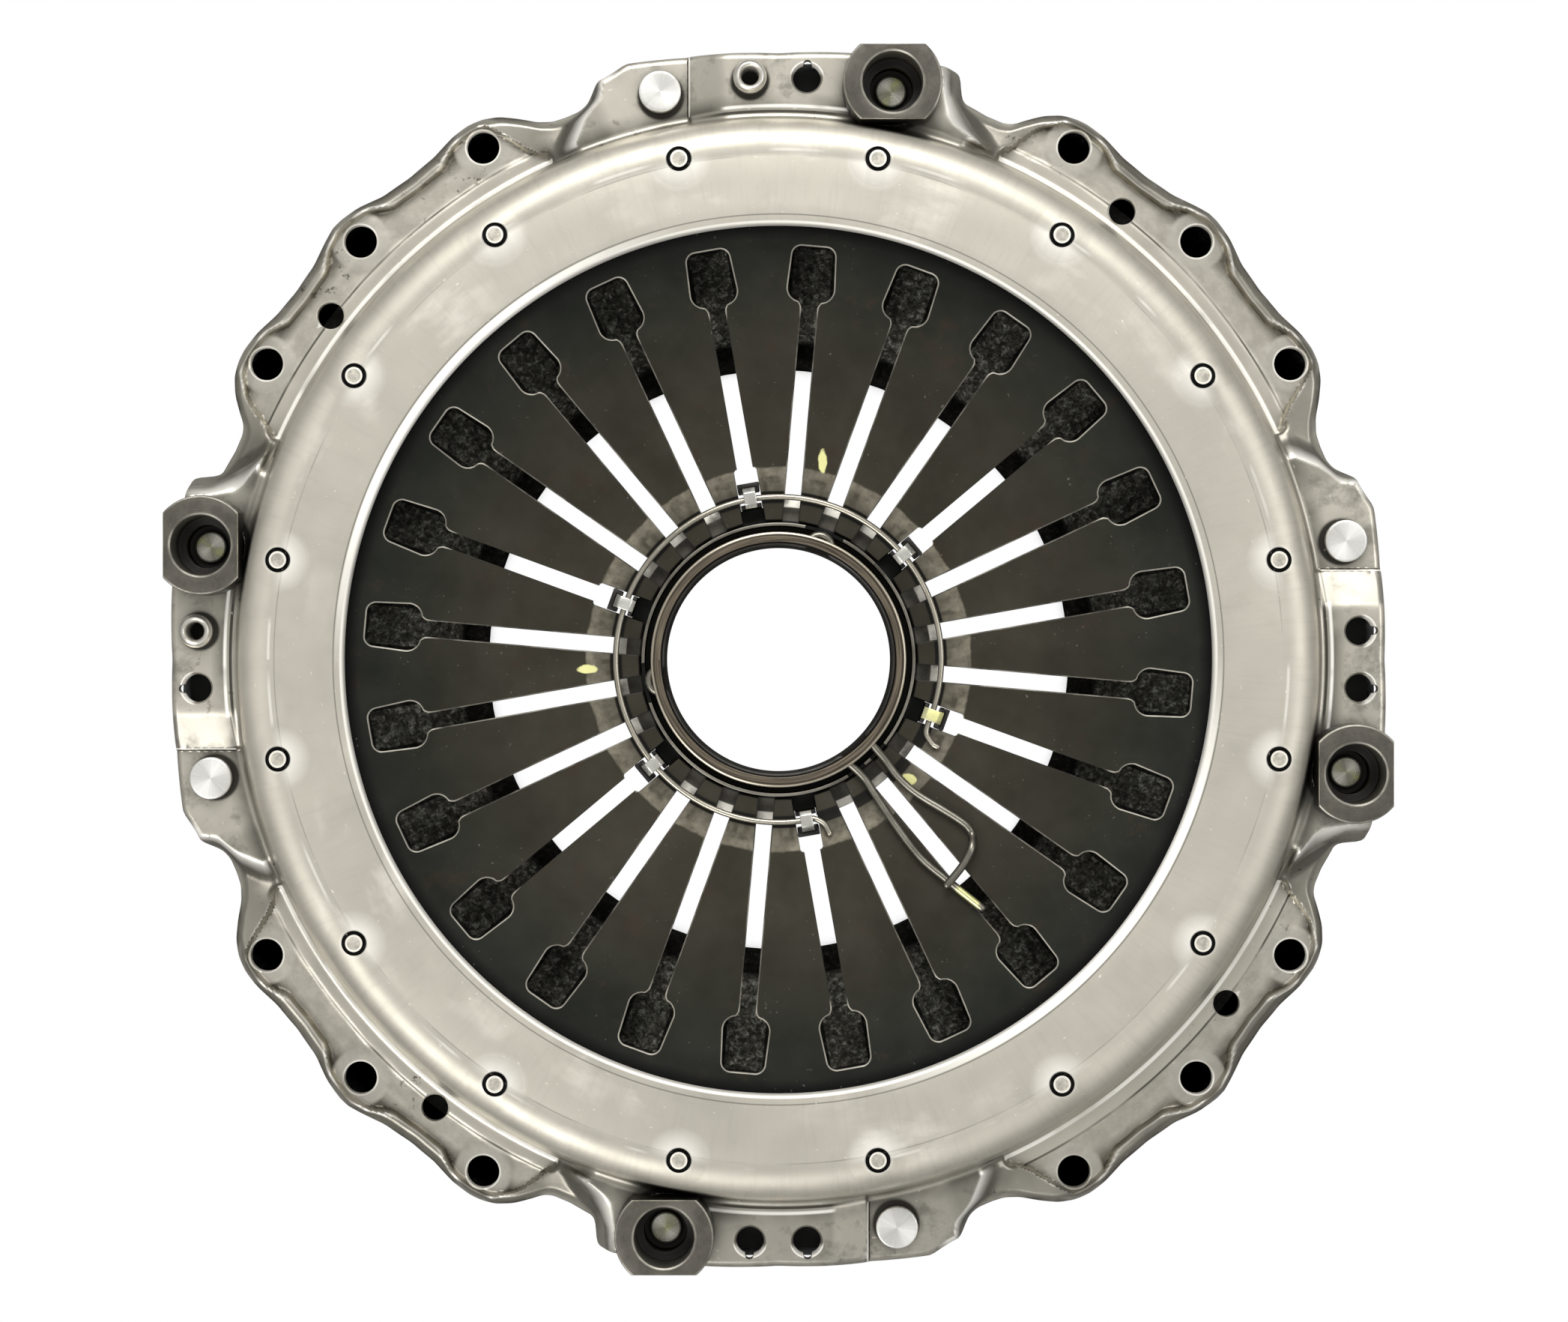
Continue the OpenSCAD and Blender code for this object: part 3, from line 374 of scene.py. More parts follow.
def cover_steel():
    """Drawn sheet: pale dome, darker dirty pads and flange, painted shade in its creases and recesses, and
    painted highlights, with some wear, on its edges and lines.
    """
    s = Shader("cover_steel", 0.72, 0.42)
    (x, y, z), r, turn = s.xyz, s.r, s.turn
    t = s.across(4, 0)                                   # distance sideways from the station's middle
    black = (0.02, 0.018, 0.014)
    s.base = s.mix(s.patchy(9, 0.35, 0.7), tint(0.44), tint(0.54))
    # painted sheen: lighter from the pin circle outwards, over the shoulder
    s.lay(tint(0.68), s.reach(r, 189, 195))
    s.lay(tint(0.34, 1.3), s.patchy(38, 0.55, 0.75, 0, 0.25, 5, 0.7))
    # the angle jumps at half a turn, so streaks fade out there
    unbroken = s.span(s.size(turn), 3.12, 2.85)
    s.lay(tint(0.9, 0.8), s.streaks((55, 4, 55), 0.52, 0.66), s.patchy(30, 0.45, 0.6, detail=2, rough=0.5),
          unbroken, 0.35)
    s.lay(tint(0.36), s.streaks((60, 90, 60), 0.5, 0.75, 0, 0.2), unbroken)
    low, high = s.reach(z, 60, 48), s.reach(z, 62, 64)
    s.lay(tint(0.38, 1.1), low, s.patchy(22, 0.3, 0.6, 0.3, 0.85))

    # flange: a pale strip along the wall, a ledge line of painted shade at the step in its floor, and soot
    # drawn out along the panel outside it
    flange = s.band(z, 21.5, 22.5, 27.4, 30)
    seat_far = s.near(24, 225, 0.0)
    seat = s.reach(seat_far, 11.6, 10.2)
    panel = s.times(flange, s.reach(r, 213.6, 214.4))
    s.lay(tint(0.66), flange, 0.75)
    s.lay(tint(0.30, 1.2), panel, s.streaks((170, 26, 40), 0.32, 0.6, detail=5, rough=0.7), 0.45)
    s.lay((0.12, 0.108, 0.084), panel, s.reach(r, 221.5, 226.5), s.linear(seat, -0.7, 1.0),
          s.streaks((90, 12, 40), 0.35, 0.55, 0.6, 1.0, rough=0.7))
    s.lay(tint(0.62, 0.8), flange, seat, 0.35)

    # painted shade: the sheet between a flange and the pads darkens towards the pads and the wall
    angle = s.size(s.math("ARCTAN2", t, s.math("SQRT", s.minus(s.times(r, r), s.times(t, t)))))

    def angles(low_angle, high_angle, *to):
        return s.span(angle, radians(low_angle), radians(high_angle), *to)

    scallop_shade = s.times(angles(28.6, 26.6), angles(17.2, 18.4), s.reach(r, 206.5, 207.5),
                      s.reach(z, 28.5, 30.5), s.reach(r, 228, 212, 0.62, 0.95), angles(27, 21, 0.7, 1.0))
    # painted shade on the flange's bead, lighter towards the upper left, where the light falls
    s.lay(tint(0.17, 1.2), angles(26.6, 28.6), s.reach(z, 27.8, 29.5), s.reach(r, 221.5, 223.5), low,
          s.patchy(30, 0.3, 0.6, 0.3, 0.9),
          s.span(s.math("COSINE", s.minus(turn, radians(130))), 0.65, 0.95, 1.0, 0.3))
    s.lay(tint(0.15, 1.2), scallop_shade, s.patchy(45, 0.3, 0.65, 0.7, 1.0))
    # painted shade: a dark line on the step in the flange's floor
    s.lay((0.05, 0.045, 0.035), flange, s.line(r, 213.9, 0.25), s.patchy(30, 0.35, 0.55, 0.3, 1.0, 3), 0.85)
    s.lay((0.07, 0.062, 0.048), s.patchy(190, 0.6, 0.66, rough=0.7),
          s.patchy(24, 0.5, 0.6, detail=2, rough=0.5), low, 0.8)
    # painted shade dulls the ramps between the two pad heights at the left and right stations
    s.lay(s.mix(s.reach(t, 22, 33), tint(0.10), tint(0.16)), s.band(z, 38.8, 39.4, 45.2, 45.7),
          s.band(t, 20.5, 21.5, 33.4, 34), s.reach(r, 206.5, 207),
          s.reach(s.minus(s.size(x), s.size(y)), -1, 1), 0.93)

    # pads: soot towards the wall, painted shadows round the rivets, and at the ramp's foot a dark line of
    # painted shade and a bright line of painted highlight
    pads = s.times(s.band(z, 37.2, 37.7, 47, 47.5), s.reach(r, 207.2, 207.8))
    soot = s.most(s.times(s.patchy(75, 0.50, 0.66, detail=5, rough=0.7), 0.55),
                  s.times(s.reach(r, 213.5, 208.5), s.patchy(40, 0.35, 0.6, 0.2, 0.8, 3)))
    s.lay(tint(0.72), pads, 0.4)
    s.lay(tint(0.2), pads, s.reach(y, -100, -200), 0.4)
    s.lay(tint(0.13, 1.2), pads, soot)
    shade = s.most(s.reach(s.near(4, 217.2, RIVET_ANGLE), 9.4, 8.4), s.spot(-10.7, 217.4, 6.9, 1.0),
                   s.spot(-217.4, 10.7, 6.9, 1.0))
    s.lay(black, pads, shade, 0.95)
    # painted shade in the crease at the ramp's foot
    s.lay(black, pads, s.line(t, 34.3, 0.1, 0.2), 0.9)

    # painted shade and dirt in the creases, where little sky is open, a dark line of painted shade low round
    # the wall, and the painted shadow beside each sleeve
    open_sky = s.node("AmbientOcclusion", {"Distance": 9 * MM}, "AO", samples=6)
    s.lay((0.035, 0.031, 0.024), s.span(open_sky, 0.78, 0.30), low, 0.9)
    s.lay(black, s.line(r, 205.8, 0.3, 0.4), s.reach(z, 38, 34), s.patchy(26, 0.40, 0.52, detail=3))
    s.lay((0.012, 0.011, 0.009), s.reach(s.near(4, STRAP_CIRCLE_R, -STUD_ANGLE), 17.2, 16),
          s.reach(r, 208, 207), s.reach(z, 60, 57), 0.92)
    # painted shade: dark pockets round the pins and dark lines round the wall and just outside the opening's
    # chamfer; a scribed line round the shoulder
    pin_far = s.near(PIN_COUNT, PIN_CIRCLE_R)
    s.lay((0.003, 0.003, 0.003), s.reach(pin_far, 4.7, 4.55), high)
    s.lay((0.04, 0.036, 0.028), s.line(r, 206, 0.4), s.reach(s.size(t), 30, 20, 0.2, 0.9),
          s.band(z, 37, 37.5, 48.5, 49))
    s.lay(tint(0.2), s.line(r, 186.8, 0.1, 0.25), s.patchy(14, 0.45, 0.55, 0, 0.5, 3), high)
    s.lay(tint(0.1), s.line(r, 164.9, 0.15, 0.2), high, 0.6)

    # painted highlights, with some wear on the convex edges: the wall's foot, worn edges, the opening's
    # chamfer, halos of the pins, crests, folds, hole rims and glints; they are made less metallic so that they
    # stay bright
    foot = s.times(s.band(r, 207, 207.3, 208.7, 209.2), s.reach(z, 30.5, 29.5),
                   s.patchy(32, 0.30, 0.45, 0.35, 1.0, 3))
    nearest = s.balance_far()
    # convex edges: wear and painted highlight
    worn = s.times(s.span(s.node("NewGeometry", out="Pointiness"), 0.520, 0.565), s.reach(z, 20, 24),
                   s.reach(seat_far, 8.5, 10), low, 0.65, s.span(scallop_shade, 0.2, 0.6, 1.0, 0.15),
                   s.reach(nearest, 8, 9.5))
    # the chamfer's painted highlight is brightest towards the upper left and the lower right
    side = s.span(s.math("COSINE", s.linear(turn, 2.0, -radians(2 * 142))), 0.2, 0.9)
    chamfer = s.times(high, s.most(s.times(s.reach(r, 162.8, 162.4), 0.6),
                                   s.times(s.reach(r, 164.6, 164.2), side)))
    halo = s.most(s.times(s.reach(pin_far, 6, 4.8), high, 0.25),
                  s.times(s.reach(pin_far, 12.5, 5), s.reach(r, 190, 186), high, 0.5))
    crest = s.times(angles(15.2, 16.2), s.reach(r, 207.5, 208.5), s.most(
        s.times(s.reach(t, -1, 1), s.band(z, 33.5, 37.2, 37.8, 38)),
        s.times(s.reach(t, 1, -1), s.band(z, 40, 45, 45.8, 46))), 0.7)
    nib = s.times(s.reach(nearest, 6.6, 6.3), s.reach(r, 219.5, 221.5), pads, 0.9)
    toe = s.times(pads, s.reach(r, 209, 208.4), s.reach(s.size(s.math("ADD", t, 4 * MM)), 26, 24),
                  s.patchy(36, 0.30, 0.45, 0.4, 1.0, 3))
    fold = s.times(pads, s.line(t, 33.7, 0.2, 0.2))
    ray = s.times(s.line(r, 188.9, 0.3, 0.4), s.streaks((0, 5, 0), 0.52, 0.6, detail=2, rough=0.5),
                  s.reach(z, 66, 67), 0.35)
    rim = s.times(flange, s.reach(seat_far, 7, 6.7), s.patchy(60, 0.35, 0.55, 0.2, 0.8, 2, 0.5))
    highlight_and_wear = s.times(s.most(foot, worn, chamfer, halo, crest, nib, toe, fold, ray, rim),
                     s.reach(pin_far, 4.6, 4.75))
    s.lay(tint(1.0, 0.5), highlight_and_wear)
    s.lay(tint(0.85), s.streaks((900, 60, 300), 0.73, 0.77, detail=2, rough=0.5), 0.6)
    s.set("Metallic", s.linear(highlight_and_wear, -0.45, 0.72))
    grain = s.linear(s.noise(260), 0.8, s.noise(1400))
    swell = s.times(s.reach(pin_far, 10.5, 4.5), high)
    waves = s.times(s.noise(11, 2, 0.5), 0.5)
    s.done(s.linear(low, -0.18, s.patchy(45, 0.3, 0.7, 0.46, 0.58)),
           (s.linear(grain, 0.03, s.linear(swell, 0.35, waves)), 1.0, 0.8))


def plain_steel(name, light, dark, metallic, rough, grain=900, bump=0.04, marks=()):
    s = Shader(name, metallic, rough)
    s.base = s.mix(s.patchy(60, 0.35, 0.65, detail=5, rough=0.65), dark, light)
    s.paint(marks)
    s.done(s.patchy(140, 0.3, 0.7, rough - 0.08, rough + 0.08), (s.noise(grain), bump, 0.5))


def spring_steel():
    """Dark spring steel, warmer towards the tips, where each finger has a worn band, with painted shade round
    the wire and under the cover.
    """
    s = Shader("spring_steel", 0.5, 0.42)
    s.set("Specular IOR Level", 0.3)
    r = s.r
    warm = s.mix(s.patchy(25, 0.35, 0.65, detail=5), (0.027, 0.024, 0.015), (0.044, 0.039, 0.027))
    cold = s.mix(s.patchy(30, 0.35, 0.65), (0.012, 0.0135, 0.0095), (0.023, 0.024, 0.018))
    s.base = s.mix(s.reach(r, 98, 150), warm, cold)
    s.lay((0.045, 0.028, 0.018), s.patchy(55, 0.58, 0.7, rough=0.7), 0.45)
    # painted shade where the spring lies under the cover, from its opening outwards
    s.lay((0.002, 0.002, 0.002), s.reach(r, 157.2, 161.8))
    s.lay((0.26, 0.25, 0.21), s.patchy(700, 0.70, 0.76, detail=2, rough=0.5),
          s.patchy(60, 0.5, 0.6, detail=2, rough=0.5), 0.5)
    # worn bright band near the tips, with darker press marks in it
    edge = s.linear(s.noise(220), 1.6 * MM, s.local(24, 17.5, 0.0)[0])
    band = s.times(s.reach(r, 61.2, 62), s.reach(edge, 73.6, 72.8))
    across = s.size(s.across(24, 17.5))
    leg = s.line(across, 2.1, 0.5, 0.7)
    press = s.most(s.times(leg, s.reach(r, 70, 68.5)),
                   s.times(s.line(r, 68, 0.7, 0.9), s.reach(across, 4, 3)))
    worn = s.mix(s.patchy(190, 0.3, 0.7, rough=0.65), (0.10, 0.09, 0.064), (0.27, 0.245, 0.185))
    worn = s.mix(s.reach(r, 70.5, 64, 0, 0.6), worn, (0.06, 0.053, 0.038))
    worn = s.mix(s.times(press, s.patchy(150, 0.40, 0.62, detail=3)), worn, (0.07, 0.062, 0.045))
    s.lay(worn, band, 0.9)
    # painted shadow round the retaining wire
    s.lay((0.003, 0.003, 0.002), s.line(r, WIRE_RING_R, 2, 0.5), 0.93)
    s.paint(FINGER_DABS)
    s.done(s.patchy(90, 0.3, 0.7, 0.36, 0.5), (s.noise(900), 0.05, 0.5))


def pin_steel():
    """Pin ends, greyer in the middle than at the rim, with a painted highlight ring near the rim and painted
    shade round the edge.
    """
    s = Shader("pin_steel", 0.7, 0.42)
    far = s.near(PIN_COUNT, PIN_CIRCLE_R)
    s.base = s.mix(s.patchy(420, 0.35, 0.65, detail=3), tint(0.42), tint(0.72))
    # painted highlight near the rim
    s.lay(tint(0.95, 0.8), s.reach(far, 2.3, 2.6))
    # painted shade round the rounded edge
    s.lay((0.004, 0.004, 0.004), s.reach(far, 3.1, 3.25))
    s.done()


def spring_edge_wear_and_sheen():
    """Thin worn edges of the slots and windows with a painted highlight, dull at the tips."""
    s = Shader("spring_edge_wear_and_sheen", 0.8, 0.28)
    highlight_and_wear = s.mix(s.patchy(60, 0.35, 0.65, detail=5, rough=0.65), tint(0.5), tint(0.9))
    slot = s.mix(s.patchy(70, 0.4, 0.6, rough=0.65), tint(0.12), tint(0.45))
    s.base = s.mix(s.reach(s.r, 128, 132), slot, highlight_and_wear)
    s.lay(tint(0.07), s.reach(s.r, 64, 62))
    s.done()


def cast_iron():
    """Rough cast iron, black where it lies out of the light beside the spring's windows and at its rims."""
    s = Shader("plate_iron", 0.45, 0.5)
    r, z = s.r, s.xyz[2]
    lump = s.noise(480, 6, 0.75, distort=0.6)
    s.base = s.mix(s.span(lump, 0.42, 0.56), (0.06, 0.057, 0.045), (0.29, 0.285, 0.235))
    s.lay((0.85, 0.84, 0.74), s.span(lump, 0.55, 0.64))
    u, v = s.local(24, 10.0, 146.5)
    ring = s.most(s.reach(s.size(v), 7, 7.5), s.reach(u, 10, 10.5))
    s.lay((0.004, 0.004, 0.003), ring, s.band(r, 134.5, 136.5, 160, 163), 0.9)
    s.lay((0.012, 0.011, 0.009), s.reach(r, 122.2, 120.5), s.reach(z, 26.2, 25.5), 0.9)
    rim = s.most(s.times(s.reach(r, 204, 206), s.reach(z, 20, 17.5)),
                 s.reach(s.near(4, 217, 52.5), 8.5, 8))
    s.lay((0.003, 0.003, 0.003), rim, 0.97)
    s.done(s.patchy(500, 0.3, 0.7, 0.35, 0.6, 3), (lump, 1.6, 1.0))


def spun_steel(name, light, dark, turn, size, metallic, rough, streak=None):
    """Round faces at the stations with spin marks, and a painted highlight in two fans as if the marks caught
    the light.
    """
    s = Shader(name, metallic, rough)
    u, v = s.local(4, turn, STRAP_CIRCLE_R)
    angle = s.math("ARCTAN2", v, u)
    # painted highlight in two fans
    highlight_fan = s.math("POWER", s.size(s.math("SINE", s.linear(angle, 1.0, 0.7))), 3.0)
    rays = s.span(s.noise(1.0, at=s.along_one(s.times(angle, 5.0))), 0.35, 0.65)
    s.base = s.mix(s.linear(rays, 0.25, s.times(highlight_fan, 0.75)), dark, light)
    if streak:
        bar = s.reach(s.size(s.linear(u, 0.35, v)), size * 0.5, size * 0.08)
        s.lay(streak, bar, s.patchy(260, 0.4, 0.65, detail=3), 0.7)
    s.done(bump=(s.turning_marks(s.far(u, v)), 0.02, 0.25))


def sleeve_iron():
    """Dark turned sleeves with a pale mouth from wear and a painted highlight, and painted shade that makes
    them nearly black below the head and deep in the bore.
    """
    s = Shader("sleeve_steel", 0.7, 0.42)
    z, far = s.xyz[2], s.near(4, STRAP_CIRCLE_R, -STUD_ANGLE)
    s.base = s.mix(s.patchy(120, 0.35, 0.65, detail=5, rough=0.7), (0.066, 0.060, 0.050),
                   (0.125, 0.114, 0.094))
    cuts = s.noise(1.0, 2, at=s.along_one(s.times(far, 2600.0)))
    s.lay((0.19, 0.177, 0.147), s.span(cuts, 0.4, 0.65), 0.4)
    # painted highlight and wear on the chamfers at the mouth
    s.lay(tint(0.62), s.band(z, 64, 64.3, 64.6, 64.8), s.patchy(90, 0.35, 0.6, 0.2, 0.9, 3))
    # painted shade on the sides below the head's top
    s.lay((0.010, 0.009, 0.007), s.reach(z, 64.3, 63.9), s.reach(far, 12.2, 12.6), 0.93)
    # painted shade deep in the bore
    s.lay((0.012, 0.011, 0.009), s.reach(far, 11.2, 10.8), s.reach(z, 63, 56), 0.93)
    s.done(bump=(s.turning_marks(far), 0.03, 0.4))


def strap_black():
    """Oiled strap steel, with painted shade that makes it black where it lies under a balance hole."""
    s = Shader("strap_steel", 0.7, 0.4)
    s.base = s.mix(s.patchy(60, 0.35, 0.65), tint(0.06), tint(0.13))
    # painted shade under the balance holes
    s.lay((0.004, 0.004, 0.003), s.reach(s.balance_far(), 8.5, 7.5))
    s.done()


def ring_brown():
    """Brown turned thrust ring with a pale rim of painted highlight, and painted shade that makes it black in
    its groove.
    """
    s = Shader("ring_bronze", 0.75, 0.34)
    spun = s.noise(1.0, 3, 0.65, s.around(2600, 2.2, 900))
    s.base = s.mix(s.span(spun, 0.35, 0.65), (0.060, 0.049, 0.034), (0.26, 0.215, 0.155))
    s.lay((0.11, 0.091, 0.066), s.patchy(40, 0.4, 0.7, 0, 0.5))
    # painted highlight on the rim
    s.lay((0.66, 0.60, 0.48), s.line(s.r, 47.8, 0.3), s.reach(s.xyz[2], 44, 44.6), 0.75)
    s.lay((0.02, 0.017, 0.012), s.line(s.r, 46.8, 0.1, 0.3), 0.7)
    # painted shade in the groove and the bore
    s.lay((0.006, 0.005, 0.004), s.reach(s.r, 44.6, 44.3), 0.95)
    s.done(s.span(spun, 0.3, 0.7, 0.26, 0.4), (s.noise(1.0, 2, at=s.around(4200, 3, 900)), 0.03, 0.5))


def ring_dark():
    """Dull release ring: painted shade makes it nearly black in its groove and by the clips, with a pale top of
    painted highlight on its thin lip.
    """
    s = Shader("release_steel", 0.7, 0.4)
    r, z = s.r, s.xyz[2]
    s.base = s.mix(s.patchy(120, 0.35, 0.65, rough=0.65), (0.045, 0.041, 0.033), (0.10, 0.092, 0.075))
    # painted shade by each clip
    s.lay((0.005, 0.005, 0.004), s.reach(s.size(s.across(6, 40)), 4.6, 4.4), s.reach(r, 57.8, 57.6))
    # painted shade in the groove
    s.lay((0.006, 0.006, 0.005), s.reach(r, 52.8, 52.4), s.reach(z, 41.3, 40.8))
    s.lay(tint(0.75, 0.8), s.reach(r, 57.6, 58), s.reach(z, 34, 34.5),
          s.patchy(90, 0.3, 0.5, 0.2, 1.0, 3))
    # painted highlight on the lip's top
    s.lay(tint(0.24, 1.2), s.reach(r, 52.1, 52), s.reach(z, 41.2, 41.5),
          s.patchy(40, 0.35, 0.6, 0.3, 1.0, 3))
    s.done(bump=(s.noise(900), 0.04, 0.5))


for make in (cover_steel, spring_steel, spring_edge_wear_and_sheen, cast_iron, pin_steel, sleeve_iron, strap_black,
             ring_brown, ring_dark):
    make()
spun_steel("rivet_steel", (0.97, 0.96, 0.92), (0.58, 0.575, 0.54), RIVET_ANGLE, 7.9, 0.4, 0.34)
spun_steel("stud_steel", (0.90, 0.88, 0.76), (0.30, 0.29, 0.22), -STUD_ANGLE, 6.0, 0.8, 0.25,
           streak=(0.60, 0.62, 0.26))
plain_steel("ring_steel", tint(0.12), tint(0.07), 0.8, 0.4)
plain_steel("balance_steel", tint(0.85, 0.6), tint(0.60, 0.8), 0.7, 0.22)
plain_steel("clip_steel", (0.88, 0.87, 0.80), (0.52, 0.51, 0.46), 0.85, 0.27)
# black for painted shade: the clips' low and sideways faces and the sides of the spring's windows and rim
plain_steel("painted_shade_black", (0.02, 0.019, 0.016), (0.01, 0.009, 0.008), 0.5, 0.45)
plain_steel("clip_painted", (0.80, 0.77, 0.45), (0.50, 0.48, 0.28), 0.5, 0.4, marks=[((60.0, -20.5), (4, 3))])
plain_steel("wire_steel", tint(0.46, 1.2), tint(0.39, 1.3), 0.85, 0.3, 60, 0.0, [((66.5, -33.0), (3, 4))])
plain_steel("snap_steel", tint(0.26, 1.1), tint(0.20, 1.2), 0.85, 0.3, 60, 0.0, [((71.0, -89.0), (5, 6))])
# dark for painted shade under the wires and on the snap ring in its groove
plain_steel("wire_painted_shade", tint(0.04), tint(0.02), 0.5, 0.45)
SLOTS = {part["node"]: part["material_slot"] for part in frame["record"]["subparts"]}
for node_name, slot_name in SLOTS.items():
    mesh = nodes[node_name].data
    mesh.materials.clear()
    mesh.materials.append(MATERIALS[slot_name])


# ---------- Mesh helpers ----------
WELD = 1e-7                  # points closer than this are one point, in metres


def new_piece(name, verts, faces, material, sharp=35):
    """A mesh object from points in millimetres, smooth except at edges sharper than an angle."""
    mesh = bpy.data.meshes.new(name)
    mesh.from_pydata([(x * MM, y * MM, z * MM) for x, y, z in verts], [], faces)
    piece = linked(name, mesh)
    mesh.materials.append(MATERIALS[material])
    tidy_mesh(piece, sharp)
    return piece


def tidy_mesh(piece, sharp=35):
    """Welds doubles, turns normals outwards and marks sharp edges."""
    work = bmesh.new()
    work.from_mesh(piece.data)
    bmesh.ops.remove_doubles(work, verts=work.verts, dist=WELD)
    bmesh.ops.recalc_face_normals(work, faces=work.faces)
    limit = radians(sharp)
    for face in work.faces:
        face.smooth = True
    for edge in work.edges:
        edge.smooth = len(edge.link_faces) == 2 and edge.calc_face_angle(0) < limit
    work.to_mesh(piece.data)
    work.free()


def finish_piece(piece, body, node):
    """The piece stands for a CAD node, which it hides, and moves with its body."""
    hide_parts(node)
    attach(piece, body)


def modify(piece, kind, **settings):
    """Adds a modifier to a piece and applies it."""
    made = piece.modifiers.new(kind.lower(), kind)
    for key, value in settings.items():
        setattr(made, key, value)
    bpy.ops.object.select_all(action="DESELECT")
    piece.select_set(True)
    bpy.context.view_layer.objects.active = piece
    bpy.ops.object.modifier_apply(modifier=made.name)
    piece.select_set(False)


def cut(piece, made, operation="DIFFERENCE"):
    """Cuts a piece with another, which is used up."""
    modify(piece, "BOOLEAN", operation=operation, solver="MANIFOLD", object=made)
    bpy.data.objects.remove(made)


def slice_mesh(work, place, normal, dist):
    """Adds a row of points where a plane crosses the mesh, so that it can bend there."""
    bmesh.ops.bisect_plane(work, geom=work.verts[:] + work.edges[:] + work.faces[:], dist=dist,
                           plane_co=place, plane_no=normal)


def strip(low, high, count):
    """Faces between two rings of points."""
    return [(low + i, low + (i + 1) % count, high + (i + 1) % count, high + i) for i in range(count)]


def smooth_step(x):
    x = min(max(x, 0.0), 1.0)
    return x * x * (3 - 2 * x)


def along(table, x):
    """Straight-line reading of a table of (x, y) rows."""
    if x <= table[0][0]:
        return table[0][1]
    for (x0, y0), (x1, y1) in zip(table, table[1:]):
        if x <= x1:
            return y0 + (y1 - y0) * (x - x0) / (x1 - x0)
    return table[-1][1]


def spin(x, y, z, turn):
    """A point turned round the clutch axis, in degrees."""
    c, s = cos(radians(turn)), sin(radians(turn))
    return (x * c - y * s, x * s + y * c, z)


def polar(r, turn, z=0.0):
    a = radians(turn)
    return (r * cos(a), r * sin(a), z)


def round_stations(r, angles):
    """Places at angles from each of the four stations."""
    return [polar(r, a + 90 * k)[:2] for k in range(4) for a in angles]


def bend_points(r, z, radius, start, stop, steps):
    """Points along an arc, from one angle to another."""
    made = []
    for i in range(steps + 1):
        a = radians(start + (stop - start) * i / steps)
        made.append((r + radius * cos(a), z + radius * sin(a)))
    return made


def soft(points, radius, closed=False, steps=3):
    """Rounds the corners of a line of points."""
    made, n = [], len(points)
    for i, p in enumerate(points):
        if not closed and i in (0, n - 1):
            made.append(tuple(p))
            continue
        p = Vector(p)
        arms = []
        for q in (points[i - 1], points[(i + 1) % n]):
            arm = Vector(q) - p
            arms.append(p + arm * min(radius / max(arm.length, 1e-6), 0.45))
        for k in range(steps + 1):
            t = k / steps
            made.append(tuple(arms[0] * (1 - t) ** 2 + p * 2 * t * (1 - t) + arms[1] * t * t))
    return made


def turned(name, rows, places, sides, material, ring=False, capped=False):
    """Bodies turned from (radius, height) rows, one at each place: open, with a closed section or capped."""
    verts, faces = [], []
    shift = 0.5 if capped else 0.0
    for x, y in places:
        base = len(verts)
        for radius, z in rows:
            for i in range(sides):
                a = 2 * pi * (i + shift) / sides
                verts.append((x + radius * cos(a), y + radius * sin(a), z))
        for k in range(len(rows) if ring else len(rows) - 1):
            low, high = base + k * sides, base + (k + 1) % len(rows) * sides
            faces += strip(low, high, sides)
        if capped:
            faces += [tuple(base + i for i in reversed(range(sides))), tuple(high + i for i in range(sides))]
    return new_piece(name, verts, faces, material, 40)


def blocks(boxes):
    """Cutting blocks as (x from, x to, y from, y to, z from, z to, turn in degrees)."""
    verts, faces = [], []
    for x0, x1, y0, y1, z0, z1, turn in boxes:
        base = len(verts)
        verts += [spin(x, y, z, turn) for z in (z0, z1) for x, y in ((x0, y0), (x1, y0), (x1, y1), (x0, y1))]
        faces += [tuple(base + i for i in (3, 2, 1, 0)), tuple(base + i for i in (4, 5, 6, 7))]
        faces += strip(base, base + 4, 4)
    return new_piece("cut", verts, faces, "cover_steel")


# ---------- Cover housing ----------
SHEET = 5.0
RIVET_PAD_Z, RAISED_PAD_Z, DOME_Z = 38.0, 46.0, 68.0
PAD_SAG = 0.35               # the raised pad's drop where its ramp starts
OPENING_R = 161.0
SHOULDER_R, SHOULDER_BEND = 190.0, 11.0
WALL_LEAN = radians(12.3)
FOOT_BEND = 2.2
BOLT_CIRCLE_R, BOLT_HOLE_R = 225.0, 6.2
BOLT_ANGLES = (30, 45, 60)
SMALL_CIRCLE_R, SMALL_HOLE_R, SMALL_ANGLE = 215.0, 5.1, 52.5
FLARE = 0.7                  # rounding at the holes' mouths
RAMP_TOP, RAMP_FOOT, RAMP_STEP = 21.0, 33.5, 2.3
FLOOR_DROP, BEAD_RISE = 0.45, 3.6   # the flange's floor below its seats, and the bead above the floor
UNDER_SHIFT = 3.6            # the wall's underside lies this far beyond its top
